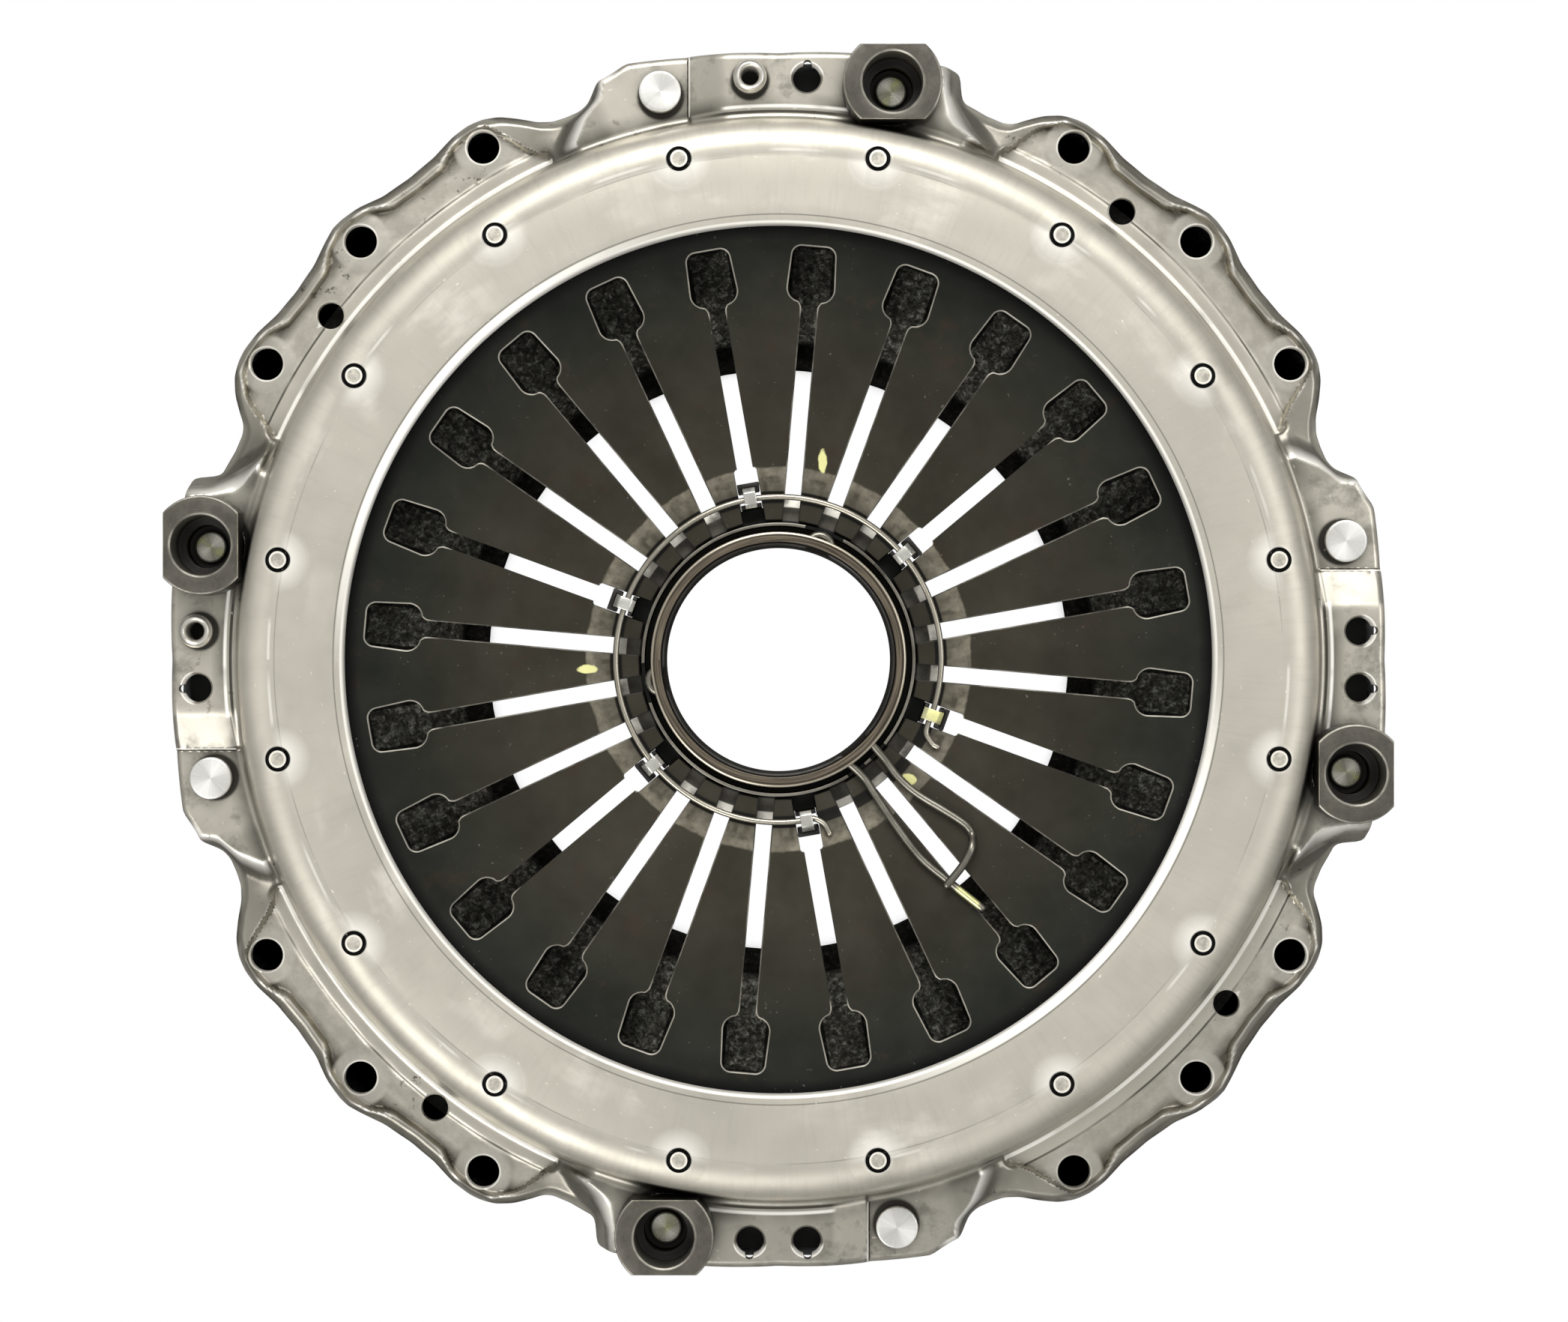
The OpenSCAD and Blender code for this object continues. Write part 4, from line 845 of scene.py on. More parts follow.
# Outline of the sheet: angle from the station's centre line and radius, anticlockwise past it
# (rivet pad, scallop, first boss) and clockwise past it (raised pad, scallop, last boss)
EDGE_AHEAD = [(0, 228), (5.26, 228.96), (8.5, 230.1), (14.4, 232.5), (15.5, 230.9), (16.8, 229.4),
              (17.65, 229.3), (18.25, 226.6), (19.0, 223.4), (20, 221.9), (21.5, 221.6), (22.8, 222),
              (24.2, 224.2), (25.7, 228.4), (27.3, 232.4), (28.8, 234.5), (30.3, 235.1), (32, 234.3),
              (34.5, 231.8), (37.5, 230.9), (40.5, 231.8), (43, 234.9), (45.6, 236.4)]
EDGE_BEHIND = [(0, 228), (7.5, 230), (12, 230.6), (15.5, 231.6), (17.2, 233), (17.55, 230.5),
               (17.85, 226.4), (18.4, 223.2), (19.3, 222.6), (21, 221.4), (22.8, 221.3), (23.7, 222.4),
               (24.6, 225.6), (26, 230.2), (27.5, 233.5), (28.9, 234.8), (30, 235.1), (32, 234.2),
               (34.5, 231.7), (37.3, 230.9), (40.3, 231.9), (43, 235), (44.4, 236.4)]
# Wall between a pad and the flange: for a radius, the angles of its crest and of its foot
WALL_AHEAD = ([(208, 21.6), (212, 20.6), (217, 19.4), (219, 18.7), (222.5, 17.4), (226, 17.1), (231, 16.9)],
              [(208, 24.2), (213, 23.6), (218, 22.2), (222, 19.8), (224, 18.8), (226, 18.3), (231, 17.9)])
WALL_BEHIND = ([(208, 21.2), (210, 19.2), (212, 17.7), (214.2, 16.9), (222, 16.15), (229, 15.5), (234, 15.2)],
               [(208, 24), (211, 23.5), (215, 22.2), (219, 20.2), (223, 18.4), (226, 17.9), (234, 17.5)])
# Inner foot of the bead past the last bolts: angle and radius
POCKET_AHEAD = [(23.4, 206), (24.6, 209.2), (25.6, 211.8), (26.4, 214.6), (27.1, 219.5), (27.8, 224.6),
                (29.2, 231), (30, 240)]
POCKET_BEHIND = [(23.0, 206), (24.1, 209.6), (24.6, 212.5), (25.0, 216), (25.7, 222.6), (27.6, 228.2),
                 (29, 233), (30, 240)]


def edge_r(turn):
    """Radius of the sheet's edge at an angle from the station's centre line, from -45 to 45."""
    reach = 0.9 if abs(turn) > 44 else 0.3
    total = 0.0
    for share in (-1, -0.5, 0, 0.5, 1):
        at = turn + reach * share
        if at > 45:
            total += along(EDGE_BEHIND, 90 - at)
        elif at < -45:
            total += along(EDGE_AHEAD, 90 + at)
        else:
            total += along(EDGE_AHEAD if at >= 0 else EDGE_BEHIND, abs(at))
    return total / 5


def pad_level(turn, r):
    """Height of the raised pad, the ramp or the rivet pad along a station."""
    t = r * sin(radians(turn))
    if t <= RAMP_TOP:
        level = RAISED_PAD_Z - PAD_SAG * smooth_step((t - RAMP_TOP + 3) / 3)
    else:
        level = along([(RAMP_TOP, RAISED_PAD_Z - PAD_SAG), (RAMP_FOOT, RIVET_PAD_Z + RAMP_STEP)], t)
    return level - max(level - RIVET_PAD_Z, 0) * smooth_step((t - RAMP_FOOT) / 0.9)


def wall_share(turn, r, shift=0.0):
    """1 on a pad, 0 on the flange and between on the wall that joins them."""
    crest, foot = WALL_AHEAD if turn >= 0 else WALL_BEHIND
    at = abs(turn) + degrees(shift / r)
    top, low = along(crest, r), along(foot, r)
    return smooth_step((low - at) / (low - top))


def bead_foot(turn, edge, wide):
    """Radius of the bead's inner foot; past the last bolt it runs inwards and meets the wall."""
    table = POCKET_AHEAD if turn >= 0 else POCKET_BEHIND
    return min(edge - wide, sum(along(table, abs(turn) + d) for d in (-0.7, -0.35, 0, 0.35, 0.7)) / 5)


def flange_level(turn, r, edge):
    """Height of the flange: its floor, the ledge and seats on it, and the bead round it."""
    angle = turn if turn >= 0 else turn + 90
    near = min(abs(angle - a) for a in BOLT_ANGLES)
    wide = 4.4 + 2.6 * smooth_step((near - 2.4) / 2.2)
    x, y, _ = polar(r, angle)
    seat = min(hypot(x - bx, y - by) for bx, by, _ in (polar(BOLT_CIRCLE_R, a) for a in BOLT_ANGLES))
    start = bead_foot(turn, edge, wide)
    rise = smooth_step((r - start) / 1.9)
    # the bead's back falls towards the sheet's edge, and its end rises into the wall
    roll = 1 - 0.8 * (1 - smooth_step((edge - r + 0.4) / min(max(edge - start - 1.2, 3.0), 4.4)))
    roll += 0.5 * (1 - smooth_step((r - 206) / 14)) * smooth_step((26 - min(abs(turn), 45)) / 3)
    floor = FLOOR_DROP * (1 - smooth_step((r - 213.6) / 0.7)) + 0.25 * (1 - smooth_step((seat - 10.6) / 0.8))
    return FLANGE_Z - FLOOR_DROP + floor + (BEAD_RISE * roll - floor) * rise


def level(turn, r, edge, shift=0.0):
    """Height of the sheet's top outside the wall."""
    share = wall_share(turn, r, shift)
    low = flange_level(turn, r, edge) if share < 1 else FLANGE_Z
    if share <= 0:
        return low
    high = pad_level(turn, r)
    roll = 0.9 * (1 - smooth_step((edge - r) / 2.2))
    return low + (high - roll - low) * share


def wall_r(z, bend=SHOULDER_BEND):
    """Radius of the leaning wall at a height."""
    return (SHOULDER_R + bend * cos(WALL_LEAN)
            + (DOME_Z - SHOULDER_BEND + bend * sin(WALL_LEAN) - z) * tan(WALL_LEAN))


def foot_centre(z, radius, bend=SHOULDER_BEND):
    """Radius of the centre of the bend at the wall's foot."""
    return (wall_r(z, bend) + radius / cos(WALL_LEAN)
            - radius * sin(WALL_LEAN) * tan(WALL_LEAN))


def section(turn):
    """The sheet's closed section at one angle: over the top from the opening outwards, and back below."""
    edge = edge_r(turn)
    lean = degrees(WALL_LEAN)
    # the opening's rounded mouth, the dome with a shallow line round it, and the shoulder
    mouth = ((0, 0.8 - SHEET), (0, -1.7), (0.35, -0.75), (0.95, -0.2), (1.8, 0), (8, 0), (16, 0))
    top = [(OPENING_R + out, DOME_Z + up) for out, up in mouth]
    top += [(186.2, DOME_Z), (187.0, DOME_Z - 0.12), (187.8, DOME_Z - 0.04), (SHOULDER_R, DOME_Z)]
    top += bend_points(SHOULDER_R, DOME_Z - SHOULDER_BEND, SHOULDER_BEND, 90, lean, 12)[1:]
    # the wall and the bend at its foot
    foot = level(turn, wall_r(FLANGE_Z) + 2, edge)
    centre_z = foot + FOOT_BEND
    centre_r = foot_centre(centre_z, FOOT_BEND)
    last_z = top[-1][1]
    for share in (0.33, 0.67):
        z = last_z + (centre_z - FOOT_BEND * sin(WALL_LEAN) - last_z) * share
        top.append((wall_r(z), z))
    top += bend_points(centre_r, centre_z, FOOT_BEND, 180 + lean, 270, 7)
    # the flange or the pads: evenly spaced points, then closer together towards the edge
    places = [centre_r + (edge - centre_r) * 0.55 * i / 13 for i in range(1, 14)]
    inner = edge - places[-1]
    places += [edge - inner * share for share in (0.91, 0.83, 0.75, 0.68, 0.61, 0.54, 0.48, 0.42, 0.36, 0.3,
                                                  0.25, 0.2, 0.15, 0.11, 0.075)]
    for r in places:
        settle = smooth_step((r - centre_r) / 4)
        top.append((r, foot + (level(turn, r, edge) - foot) * settle))
    outer = level(turn, edge - 0.5, edge)
    top += [(edge - 0.45, outer - 0.15), (edge - 0.1, outer - 0.6)]
    # back below
    low_edge = min(level(turn, edge, edge, UNDER_SHIFT) - SHEET, outer - 2.2)
    under = [(edge - 0.05, low_edge + 0.5), (edge - 0.6, low_edge)]
    for share in (0.75, 0.5, 0.25, 0.0):
        r = centre_r + 3 + (edge - 3 - centre_r - 3) * share
        under.append((r, min(level(turn, r, edge, UNDER_SHIFT) - SHEET, level(turn, r, edge) - 1.6)))
    low = under[-1][1]
    inner_bend, wide = SHOULDER_BEND - SHEET, FOOT_BEND + SHEET
    low_centre = foot_centre(low + wide, wide, inner_bend)
    low_bend = bend_points(low_centre, low + wide, wide, 270, 180 + lean, 4)
    under += [(min(r, under[-1][0] - 0.4), z) for r, z in low_bend]
    under += bend_points(SHOULDER_R, DOME_Z - SHOULDER_BEND, inner_bend, lean, 90, 6)
    under += [(OPENING_R + 12, DOME_Z - SHEET), (OPENING_R + 0.9, DOME_Z - SHEET)]
    return top + under


def station_turns():
    """Angles from -45 to 45 round one station, closer together where the sheet is steep."""
    turns, at = [], -45.0
    while at < 45 - 1e-6:
        turns.append(at)
        if 8.2 < at < 9.75:
            at += 0.125
        elif 15 < abs(at) < 28.6:
            at += 0.25
        else:
            at += 0.5
    return turns


def flared(radius, top):
    """Rows of a hole whose mouth widens."""
    return [(radius, 15), (radius, top - FLARE), (radius + FLARE, top), (radius + FLARE, 40)]


PIN_PLACES = [polar(PIN_CIRCLE_R, (i + 0.5) * 360 / PIN_COUNT)[:2] for i in range(PIN_COUNT)]
STUD_PLACES = round_stations(STRAP_CIRCLE_R, [-STUD_ANGLE])
RIVET_PLACES = round_stations(STRAP_CIRCLE_R, [RIVET_ANGLE])
BALANCE_ANGLES = [-BALANCE_ANGLE, BALANCE_ANGLE]
# The cover's holes: (radius, height) rows, places and sides
HOLES = (
    (flared(BOLT_HOLE_R, FLANGE_Z + 0.25), round_stations(BOLT_CIRCLE_R, BOLT_ANGLES), 48),
    (flared(SMALL_HOLE_R, FLANGE_Z), round_stations(SMALL_CIRCLE_R, [SMALL_ANGLE]), 40),
    ([(5.25, 30), (5.25, RAISED_PAD_Z - 1), (6.0, RAISED_PAD_Z), (6.0, 60)],
     round_stations(STRAP_CIRCLE_R, BALANCE_ANGLES), 40),
    ([(14, 30), (14, 52)], STUD_PLACES, 48),
    ([(5.1, 30), (5.1, 45)], RIVET_PLACES, 32),
    ([(3.65, 55), (3.65, 66.52), (4.55, 66.5), (4.55, 67.6), (5.0, 68.02), (5.0, 72)], PIN_PLACES, 40),
    # notches in the balance holes
    ([(1.7, 30), (1.7, 60)], round_stations(STRAP_CIRCLE_R + 5.2, BALANCE_ANGLES), 20),
)


def cover_housing():
    one = [(turn, section(turn)) for turn in station_turns()]
    count = len(one[0][1])
    verts = [polar(r, turn + 90 * k, z) for k in range(4) for turn, rows in one for r, z in rows]
    faces = []
    for base in range(0, len(verts), count):
        faces += strip(base, (base + count) % len(verts), count)
    piece = new_piece("cover_sheet", verts, faces, "cover_steel")
    for rows, places, sides in HOLES:
        cut(piece, turned("cut", rows, places, sides, "cover_steel", capped=True))
    tidy_mesh(piece, 38)
    finish_piece(piece, "cover", "cover_housing")


cover_housing()

# ---------- Diaphragm spring, one piece for each finger ----------
SPRING_LEAN = radians(7)
SPRING_SLOPE = tan(SPRING_LEAN)
SPRING_TOP = 56.8
SPRING_DROP = 4.3 / cos(SPRING_LEAN)   # thickness of the fingers, upright
TIP_R, SPRING_R, FINGERS, SLOT_ANGLE = 52.5, 194.0, 24, 10.0
SLOT_HALF, CLIP_SLOT_HALF, CLIP_SLOT_R = 3.0, 4.3, 73.0
RING_TOP = 34.69             # top of the release ring's flange, under the finger tips


def spring_top(r):
    """Height of the spring's top, which is SPRING_TOP at the circle of the pins."""
    return SPRING_TOP - (PIN_CIRCLE_R - r) * SPRING_SLOPE


def slot_side(wide):
    """One side of a slot from tip to rim: distance out, distance from the slot's middle and edge rounding."""
    if wide:
        rows = [(TIP_R, CLIP_SLOT_HALF, 0.15), (CLIP_SLOT_R - 0.6, CLIP_SLOT_HALF, 0.15),
                (CLIP_SLOT_R, CLIP_SLOT_HALF - 0.5, 0.15), (CLIP_SLOT_R + 0.3, SLOT_HALF, 0.15)]
    else:
        rows = [(TIP_R, SLOT_HALF, 0.45), (CLIP_SLOT_R, SLOT_HALF, 0.45)]
    window = [(131.6, SLOT_HALF), (132.7, 3.12), (133.5, 3.5), (134.2, 4.0)]
    window += bend_points(139.5, 3.7, 5.0, 172, 90, 9)
    window += bend_points(151.5, 4.6, 3.5, 90, 0, 8)
    return rows + [(x, w, 0.5) for x, w in window] + [(155.0, 0.0, 0.0)]


def inset(points, amounts):
    """Moves each side of a closed outline inwards by its own amount."""
    made, n = [], len(points)
    for i in range(n):
        p, before, after = Vector(points[i]), Vector(points[i - 1]), Vector(points[(i + 1) % n])
        e1, e2 = (p - before).normalized(), (after - p).normalized()
        n1, n2 = Vector((-e1.y, e1.x)), Vector((-e2.y, e2.x))
        a1, a2 = amounts[i - 1], amounts[i]
        turn = n1.x * n2.y - n1.y * n2.x
        if abs(turn) < 0.02:
            made.append(p + (n1 * a1 + n2 * a2) / 2)
        else:
            c1, c2 = n1.dot(p) + a1, n2.dot(p) + a2
            made.append(Vector(((c1 * n2.y - c2 * n1.y) / turn, (n1.x * c2 - n2.x * c1) / turn)))
    return made


def finger_outline(k):
    """Points round one finger that lies along X, each with the rounding of the side after it."""
    sides = []
    for side, index in ((-1, k), (1, k + 1)):
        turn = 180 / FINGERS * side
        rows = slot_side(index % 4 == 2)
        sides.append([(spin(x, -w * side, 0, turn)[:2], b) for x, w, b in rows])
    rim = [(polar(SPRING_R, a)[:2], 0.5 if a < 7.5 else 0.0) for a in (-7.5, -5, -2.5, 0, 2.5, 5, 7.5)]
    left = sides[1][::-1]
    left = [(p, left[i + 1][1] if i + 1 < len(left) else 0.4) for i, (p, b) in enumerate(left)]
    return sides[0] + rim + left


def finger(k):
    """One finger with its share of the rim, bevelled along slot, window, tip and rim."""
    middle = SLOT_ANGLE + (k + 0.5) * 360 / FINGERS
    outline = finger_outline(k)
    points, amounts = [p for p, b in outline], [b for p, b in outline]
    count = len(points)
    drops = [0.8 * max(amounts[i - 1], amounts[i]) for i in range(count)]
    verts = [(v.x, v.y, 0.0) for v in inset(points, amounts)]
    verts += [(x, y, -drops[i]) for i, (x, y) in enumerate(points)]
    verts += [(x, y, -SPRING_DROP) for x, y in points]
    work = bmesh.new()
    made = [work.verts.new(v) for v in verts]
    work.faces.new(made[:count])
    work.faces.new(list(reversed(made[2 * count:])))
    # materials: 0 on the faces, 1 on the worn bevels with a painted highlight and 2 on the sides, black with
    # painted shade
    for i in range(count):
        j = (i + 1) % count
        face = work.faces.new((made[count + i], made[count + j], made[j], made[i]))
        face.material_index = 1 if amounts[i] > 0 else 0
        wall = work.faces.new((made[2 * count + i], made[2 * count + j], made[count + j], made[count + i]))
        wall.material_index = 2 if amounts[i] > 0.48 else 0
    bmesh.ops.triangulate(work, faces=[f for f in work.faces if len(f.verts) > 4])
    for x in range(60, 192, 8):
        slice_mesh(work, (x, 0, 0), (1, 0, 0), 1e-5)
    for a in (-5, -2.5, 0, 2.5, 5):
        slice_mesh(work, (0, 0, 0), (sin(radians(a)), -cos(radians(a)), 0), 1e-5)
    for v in work.verts:
        x, y, z = v.co
        v.co = [p * MM for p in spin(x, y, z + spring_top(hypot(x, y)), middle)]
    mesh = bpy.data.meshes.new(f"finger_{k + 1}")
    work.to_mesh(mesh)
    work.free()
    piece = linked(mesh.name, mesh)
    for name in ("spring_steel", "spring_edge_wear_and_sheen", "painted_shade_black"):
        mesh.materials.append(MATERIALS[name])
    tidy_mesh(piece, 25)
    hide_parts("diaphragm_spring")
    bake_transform(piece)


for k in range(FINGERS):
    finger(k)

# ---------- Pins, rivets, studs and sleeves, as (radius, height) rows ----------
pin_rows = soft([(2.9, 67.98), (3.55, 67.98), (3.55, 63), (2, 63), (2, 59.7)], 0.6)
rivet_rows = soft([(6.4, 42), (7.9, 42), (7.9, 38), (5, 38), (5, 29.4), (7.9, 29.4), (7.9, 26.4),
                   (5, 26.4)], 0.8)
stud_rows = soft([(5.1, 38), (6, 37.8), (6, 35.6), (5, 35.6), (5, 15.4)], 0.5)
tube_rows = soft([(3.3, 39.4), (5.15, 39.4), (5.15, 46), (5.8, 46), (6.3, 47), (6.3, 50.5), (5.2, 52.5),
                  (4.2, 52.5), (3.3, 51.2)], 0.8, closed=True)
tube_places = [polar(STRAP_CIRCLE_R, a)[:2] for a in (90 + BALANCE_ANGLE, 180 - BALANCE_ANGLE)]
finish_piece(turned("pins", [(0, 67.97), (1.5, 67.98), *pin_rows, (0, 59.7)], PIN_PLACES, 40, "pin_steel"),
             "cover", "fulcrum_pins")
finish_piece(turned("strap_rivet_heads", [(0, 41.5), (3, 41.75), *rivet_rows, (0, 26.4)], RIVET_PLACES, 48,
                    "rivet_steel"), "cover", "strap_rivets")
finish_piece(turned("balance_rivet_heads", tube_rows, tube_places, 40, "balance_steel", True),
             "cover", "balance_rivets")
finish_piece(turned("studs", [(0, 37.6), (2, 37.75), *stud_rows, (0, 15.4)], STUD_PLACES, 40, "stud_steel"),
             "pressure_plate", "lug_studs")

SLEEVE_ROWS = soft([(5.1, 33), (12.5, 33), (12.5, 46.2), (18.5, 46.2), (18.5, 64.2), (17.9, 64.8), (11.9, 64.8),
                    (11, 63.9), (11, 46.2), (8.2, 46.2), (8.2, 35.6), (5.1, 35.6)], 0.35, closed=True, steps=2)
# Half of the outline between the flats: half width and height
FLAT_ROWS = [(13, 30), (13, 46.19), (12.35, 46.2), (13.95, 51.2), (13.95, 64.3), (13.6, 64.9), (13.6, 70)]


def stop_sleeve(k):
    """Flanged sleeve with two flats on its head."""
    x, y, _ = polar(STRAP_CIRCLE_R, 90 * k - STUD_ANGLE)
    piece = turned(f"sleeve_{k + 1}", SLEEVE_ROWS, [(x, y)], 96, "sleeve_steel", True)
    outline = [(-13, 30), *FLAT_ROWS] + [(-u, z) for u, z in FLAT_ROWS[:0:-1]]
    verts = [(x + u, y + v, z) for u, v, z in (spin(u, v, z, 90 * k) for v in (-30, 30) for u, z in outline)]
    n = len(outline)
    faces = [tuple(range(n)), tuple(reversed(range(n, 2 * n)))] + strip(0, n, n)
    cut(piece, new_piece("keep", verts, faces, "cover_steel"), "INTERSECT")
    tidy_mesh(piece, 35)
    finish_piece(piece, "pressure_plate", f"stop_sleeve_{k + 1}")


# ---------- Leaf straps ----------
def strap(k, name):
    """A copy of one leaf, with rows of points added between its rivet on the cover and its stud on the plate.
    """
    source = nodes[name]
    mesh = source.data.copy()
    mesh.transform(source.matrix_world)
    piece = linked(name.replace("strap", "leaf"), mesh)
    rivet = Vector(polar(STRAP_CIRCLE_R * MM, 90 * k + RIVET_ANGLE))
    stud = Vector(polar(STRAP_CIRCLE_R * MM, 90 * k - STUD_ANGLE))
    run = (stud - rivet).normalized()
    work = bmesh.new()
    work.from_mesh(mesh)
    bmesh.ops.remove_doubles(work, verts=work.verts, dist=WELD)
    for step in range(1, 14):
        slice_mesh(work, rivet.lerp(stud, step / 14), run, WELD)
    work.to_mesh(mesh)
    work.free()
    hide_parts(name)
    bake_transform(piece)


for k in range(4):
    stop_sleeve(k)
for k in range(4):
    for layer in ("lower", "middle", "upper"):
        strap(k, f"strap_{k + 1}_{layer}")

# ---------- Release ring and thrust ring ----------
THRUST_IN_R = 42.4
WIRE_R = 1.1
SNAP_R, SNAP_WIRE_R, SNAP_UP = 44.0, 1.5, 7.4
SNAP_Z = RING_TOP + SNAP_UP
SNAP_LOOPS, SNAP_EXITS = (70, 190), (305.2, 317.2)
LOOP_R = 4.6
GROOVE_R, GROOVE_HALF = 45.65, 1.65
CLIP_TURNS = range(40, 400, 60)


def passages(reach, top):
    """Cutters where the snap ring's loops and legs pass outwards."""
    start = THRUST_IN_R - 1
    return blocks([(start, start + reach - THRUST_IN_R, -half, half, SNAP_Z - GROOVE_HALF - 0.02, top, a)
                   for half, angles in ((7.6, SNAP_LOOPS), (3.9, SNAP_EXITS)) for a in angles])


def lathe_ring(name, rows, radius, material):
    """A ring round the clutch axis; heights count from the release ring's top."""
    rows = soft([(r, RING_TOP + up) for r, up in rows], radius, closed=True, steps=2)
    return turned(name, rows, [(0, 0)], 192, material, True)


release = lathe_ring("release_ring_body", [(45, -4), (60.8, -4), (60.8, 0), (51.7, 0), (51.7, 7), (50.4, 7),
                                           (50.4, 0), (45, 0)], 0.5, "release_steel")
cut(release, passages(57.5, RING_TOP + 8))
cut(release, blocks([(57.5, 63, -4, 4, RING_TOP - 6, RING_TOP + 2, a) for a in CLIP_TURNS]))
tidy_mesh(release, 35)
finish_piece(release, "release_ring", "release_ring")
groove_low, groove_high = SNAP_UP - GROOVE_HALF, SNAP_UP + GROOVE_HALF
thrust = lathe_ring("thrust_ring_body", [
    (THRUST_IN_R, -8.7), (44.9, -8.7), (44.9, 0.3), (48.1, 0.3), (48.1, 10.1), (47.3, 10.5), (44.4, 10.5),
    (43.8, 9.9), (43.8, groove_high), (GROOVE_R, groove_high), (GROOVE_R, groove_low),
    (THRUST_IN_R, groove_low)], 0.3, "ring_bronze")
cut(thrust, passages(50.1, RING_TOP + groove_high + 0.02))
tidy_mesh(thrust, 35)
finish_piece(thrust, "release_ring", "thrust_ring")


# ---------- Wires and clips ----------
def curve_through(points, step):
    """A smooth path through points, with a point about every step."""
    pts = [Vector(p) for p in points]
    made = []
    for i in range(len(pts) - 1):
        a, b = pts[max(i - 1, 0)], pts[i]
        c, d = pts[i + 1], pts[min(i + 2, len(pts) - 1)]
        parts = max(1, round((c - b).length / step))
        for k in range(parts):
            t = k / parts
            made.append(0.5 * (2 * b + (c - a) * t + (2 * a - 5 * b + 4 * c - d) * t * t
                               + (3 * b - a - 3 * c + d) * t ** 3))
    made.append(pts[-1])
    return made


WIRE_SIDES = 16
END_ROUNDING = ((1, 0.02), (0.86, 0.5), (0.5, 0.86))   # distance past the end and radius, as shares


def wire(name, points, radius, material):
    """A round wire through points, close to level, with rounded ends and painted shade on its underside."""
    path = curve_through(points, 1.2)
    n = len(path)
    rings = []
    for i in range(n):
        ahead = (path[min(i + 1, n - 1)] - path[max(i - 1, 0)]).normalized()
        rings.append((path[i], ahead, radius))
        if i in (0, n - 1):
            sign = 1 if i else -1
            ends = [(path[i] + sign * ahead * radius * k, ahead, radius * w) for k, w in END_ROUNDING]
            rings = ends + rings if i == 0 else rings + ends[::-1]
    verts, faces = [], []
    for at, ahead, size in rings:
        side = ahead.cross(Vector((0, 0, 1))).normalized()
        up = side.cross(ahead)
        for j in range(WIRE_SIDES):
            a = 2 * pi * j / WIRE_SIDES
            verts.append(tuple(at + (side * cos(a) + up * sin(a)) * size))
    last = len(verts) - WIRE_SIDES
    for low in range(0, last, WIRE_SIDES):
        faces += strip(low, low + WIRE_SIDES, WIRE_SIDES)
    faces += [tuple(range(WIRE_SIDES)), tuple(reversed(range(last, last + WIRE_SIDES)))]
    piece = new_piece(name, verts, faces, material, 60)
    piece.data.materials.append(MATERIALS["wire_painted_shade"])
    # painted shade on the faces that look down
    for face in piece.data.polygons:
        face.material_index = 1 if face.normal.z < 0.42 else 0
    return piece


def wire_ring():
    """Retaining wire on the fingers, its two ends turned outwards."""
    def at(out, a):
        return polar(WIRE_RING_R + out, a, spring_top(WIRE_RING_R) + WIRE_R + 0.15 + out * SPRING_SLOPE)
    points = [at(out, -20 + a) for out, a in ((7, -8.8), (5.6, -8.9), (3.7, -8.2), (0.9, -6.5))]
    points += [at(0, -23 + 305.5 * i / 90) for i in range(91)]
    points += [at(out, 280 + a) for out, a in ((2.5, 5.4), (4.7, 6.1), (7, 6.4))]
    finish_piece(wire("wire_ring", points, WIRE_R, "wire_steel"), "release_ring", "retaining_wire")


# The snap ring's legs: distance out from the thrust ring's bore, and angle
LEFT_LEG = [(5.1, 304.2), (12.8, 305.9), (20.1, 305.6), (34.6, 305.3), (49, 305.7), (60.8, 307.3), (68, 308.2),
            (77.8, 309.3)]
RIGHT_LEG = [(5.1, 318), (12.9, 316.8), (19.9, 315.6), (26.9, 315.6), (32.8, 316.3), (41, 317.6), (49, 318.5),
             (52.7, 318.5), (55.7, 317.8), (58.5, 315.8), (60.1, 313.6), (61.4, 310.9), (62.9, 306.8)]
OVER_FROM = 9                # from this point on the right leg lies over the left one


def snap_ring():
    """Spring wire round the groove, with two loops outwards and two legs over the fingers."""
    def on_leg(p, above):
        r = THRUST_IN_R + p[0]
        return polar(r, p[1], max(spring_top(r) + SNAP_WIRE_R + above, SNAP_Z))

    def arc_points(start, stop):
        steps = ceil((stop - start) / 4)
        return [polar(SNAP_R, start + (stop - start) * i / steps, SNAP_Z) for i in range(steps + 1)]

    def loop(a):
        bend = bend_points(SNAP_R + 1, 0, LOOP_R, -100, 100, 10)
        return [spin(x, y, SNAP_Z, a) for x, y in bend]

    points = [on_leg(p, 0.75 + (3.3 if i >= OVER_FROM else 0)) for i, p in enumerate(RIGHT_LEG)][::-1]
    points += arc_points(SNAP_EXITS[1] + 3, SNAP_LOOPS[0] + 353) + loop(SNAP_LOOPS[0])
    points += arc_points(SNAP_LOOPS[0] + 7, SNAP_LOOPS[1] - 7) + loop(SNAP_LOOPS[1])
    points += arc_points(SNAP_LOOPS[1] + 7, SNAP_EXITS[0] - 3)
    points += [on_leg(p, 0.75) for p in LEFT_LEG]
    piece = wire("snap_wire", points, SNAP_WIRE_R, "snap_steel")
    # painted shade on the part that lies in the groove
    for face in piece.data.polygons:                     # dark in the groove
        if hypot(face.center.x, face.center.y) < (SNAP_R + SNAP_WIRE_R) * MM:
            face.material_index = 1
    finish_piece(piece, "release_ring", "snap_ring")


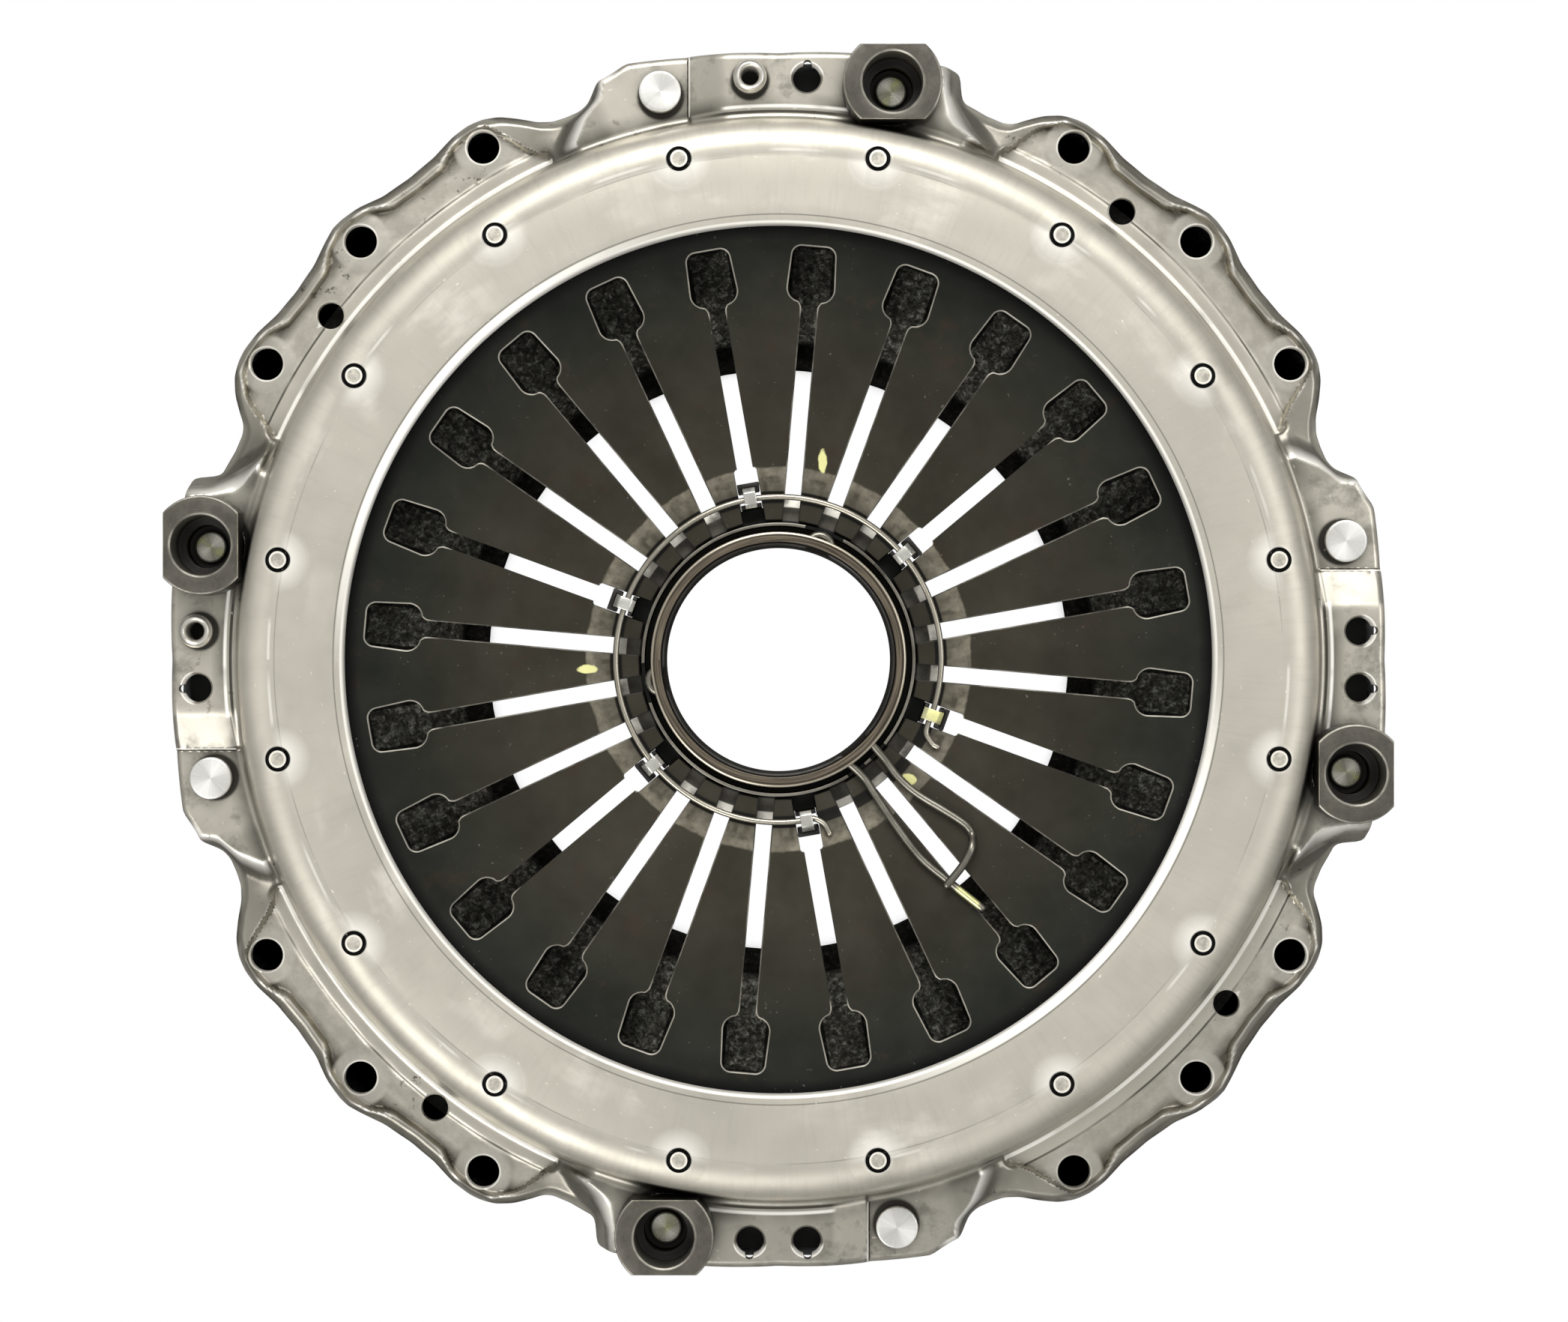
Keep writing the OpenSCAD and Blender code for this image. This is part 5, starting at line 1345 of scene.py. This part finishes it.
def clip_path():
    """Middle of a clip's strip, from the foot under the ring outwards: distance out, height, half width."""
    low = RING_TOP - 4.3
    wire_z = spring_top(WIRE_RING_R) + WIRE_R + 0.15
    top = wire_z + WIRE_R + 0.15
    stem, far = 57.8 + CLIP_THICK / 2, WIRE_RING_R + 2.6 + CLIP_THICK / 2
    path = [(53.8, low - CLIP_THICK / 2, 3.9), (stem, low - CLIP_THICK / 2, 3.9), (stem, top - 2.0, 3.9),
            (stem, top - 1.4, 2.5), (stem, top - 0.2, 2.3), (59.5, top + CLIP_THICK / 2, 2.3),
            (WIRE_RING_R + 2.2, top + CLIP_THICK / 2, 2.3), (far, top - 0.4, 2.4), (far, wire_z + 0.3, 3.1),
            (far, wire_z - 0.5, 4.1), (far + 0.2, wire_z - 0.8, 4.15),
            (far + CLIP_THICK / 2 + 1.9, wire_z - 0.8, 4.15)]
    return path, top


CLIP_THICK = 1.6
PAINTED_CLIP = 5


def clips():
    """Hook clips: a bright saddle over the wire between wider feet in painted shade."""
    path, top = clip_path()
    count = len(path)
    for i, turn in enumerate(CLIP_TURNS):
        verts, faces = [], []
        for j, (x, z, half) in enumerate(path):
            before, after = path[max(j - 1, 0)], path[min(j + 1, count - 1)]
            ahead = Vector((after[0] - before[0], after[1] - before[1])).normalized()
            side = Vector((-ahead.y, ahead.x))
            wide = 1.25 if 0 < j < count - 1 and abs(ahead.x * ahead.y) > 0.2 else 1.0
            wide *= 1.7 if j in (8, 9) else 1.0
            for s, d in ((1, -half), (1, half), (-1, half), (-1, -half)):
                off = s * CLIP_THICK / 2 * wide
                verts.append(spin(x + side.x * off, d, z + side.y * off, turn))
            if j:
                faces += strip(4 * j - 4, 4 * j, 4)
        faces += [(0, 1, 2, 3), tuple(4 * (count - 1) + q for q in (3, 2, 1, 0))]
        piece = new_piece(f"clip_{i + 1}", verts, faces, "clip_painted" if i == PAINTED_CLIP else "clip_steel")
        piece.data.materials.append(MATERIALS["painted_shade_black"])
        modify(piece, "BEVEL", width=0.35 * MM, segments=2, limit_method="ANGLE", angle_limit=radians(25))
        # painted shade: all but the saddle's upward faces take the black
        for face in piece.data.polygons:
            face.material_index = 1 if face.center.z < (top + 0.3) * MM or face.normal.z < 0.3 else 0
        tidy_mesh(piece, 45)
        finish_piece(piece, "release_ring", "ring_clips")


wire_ring()
snap_ring()
clips()
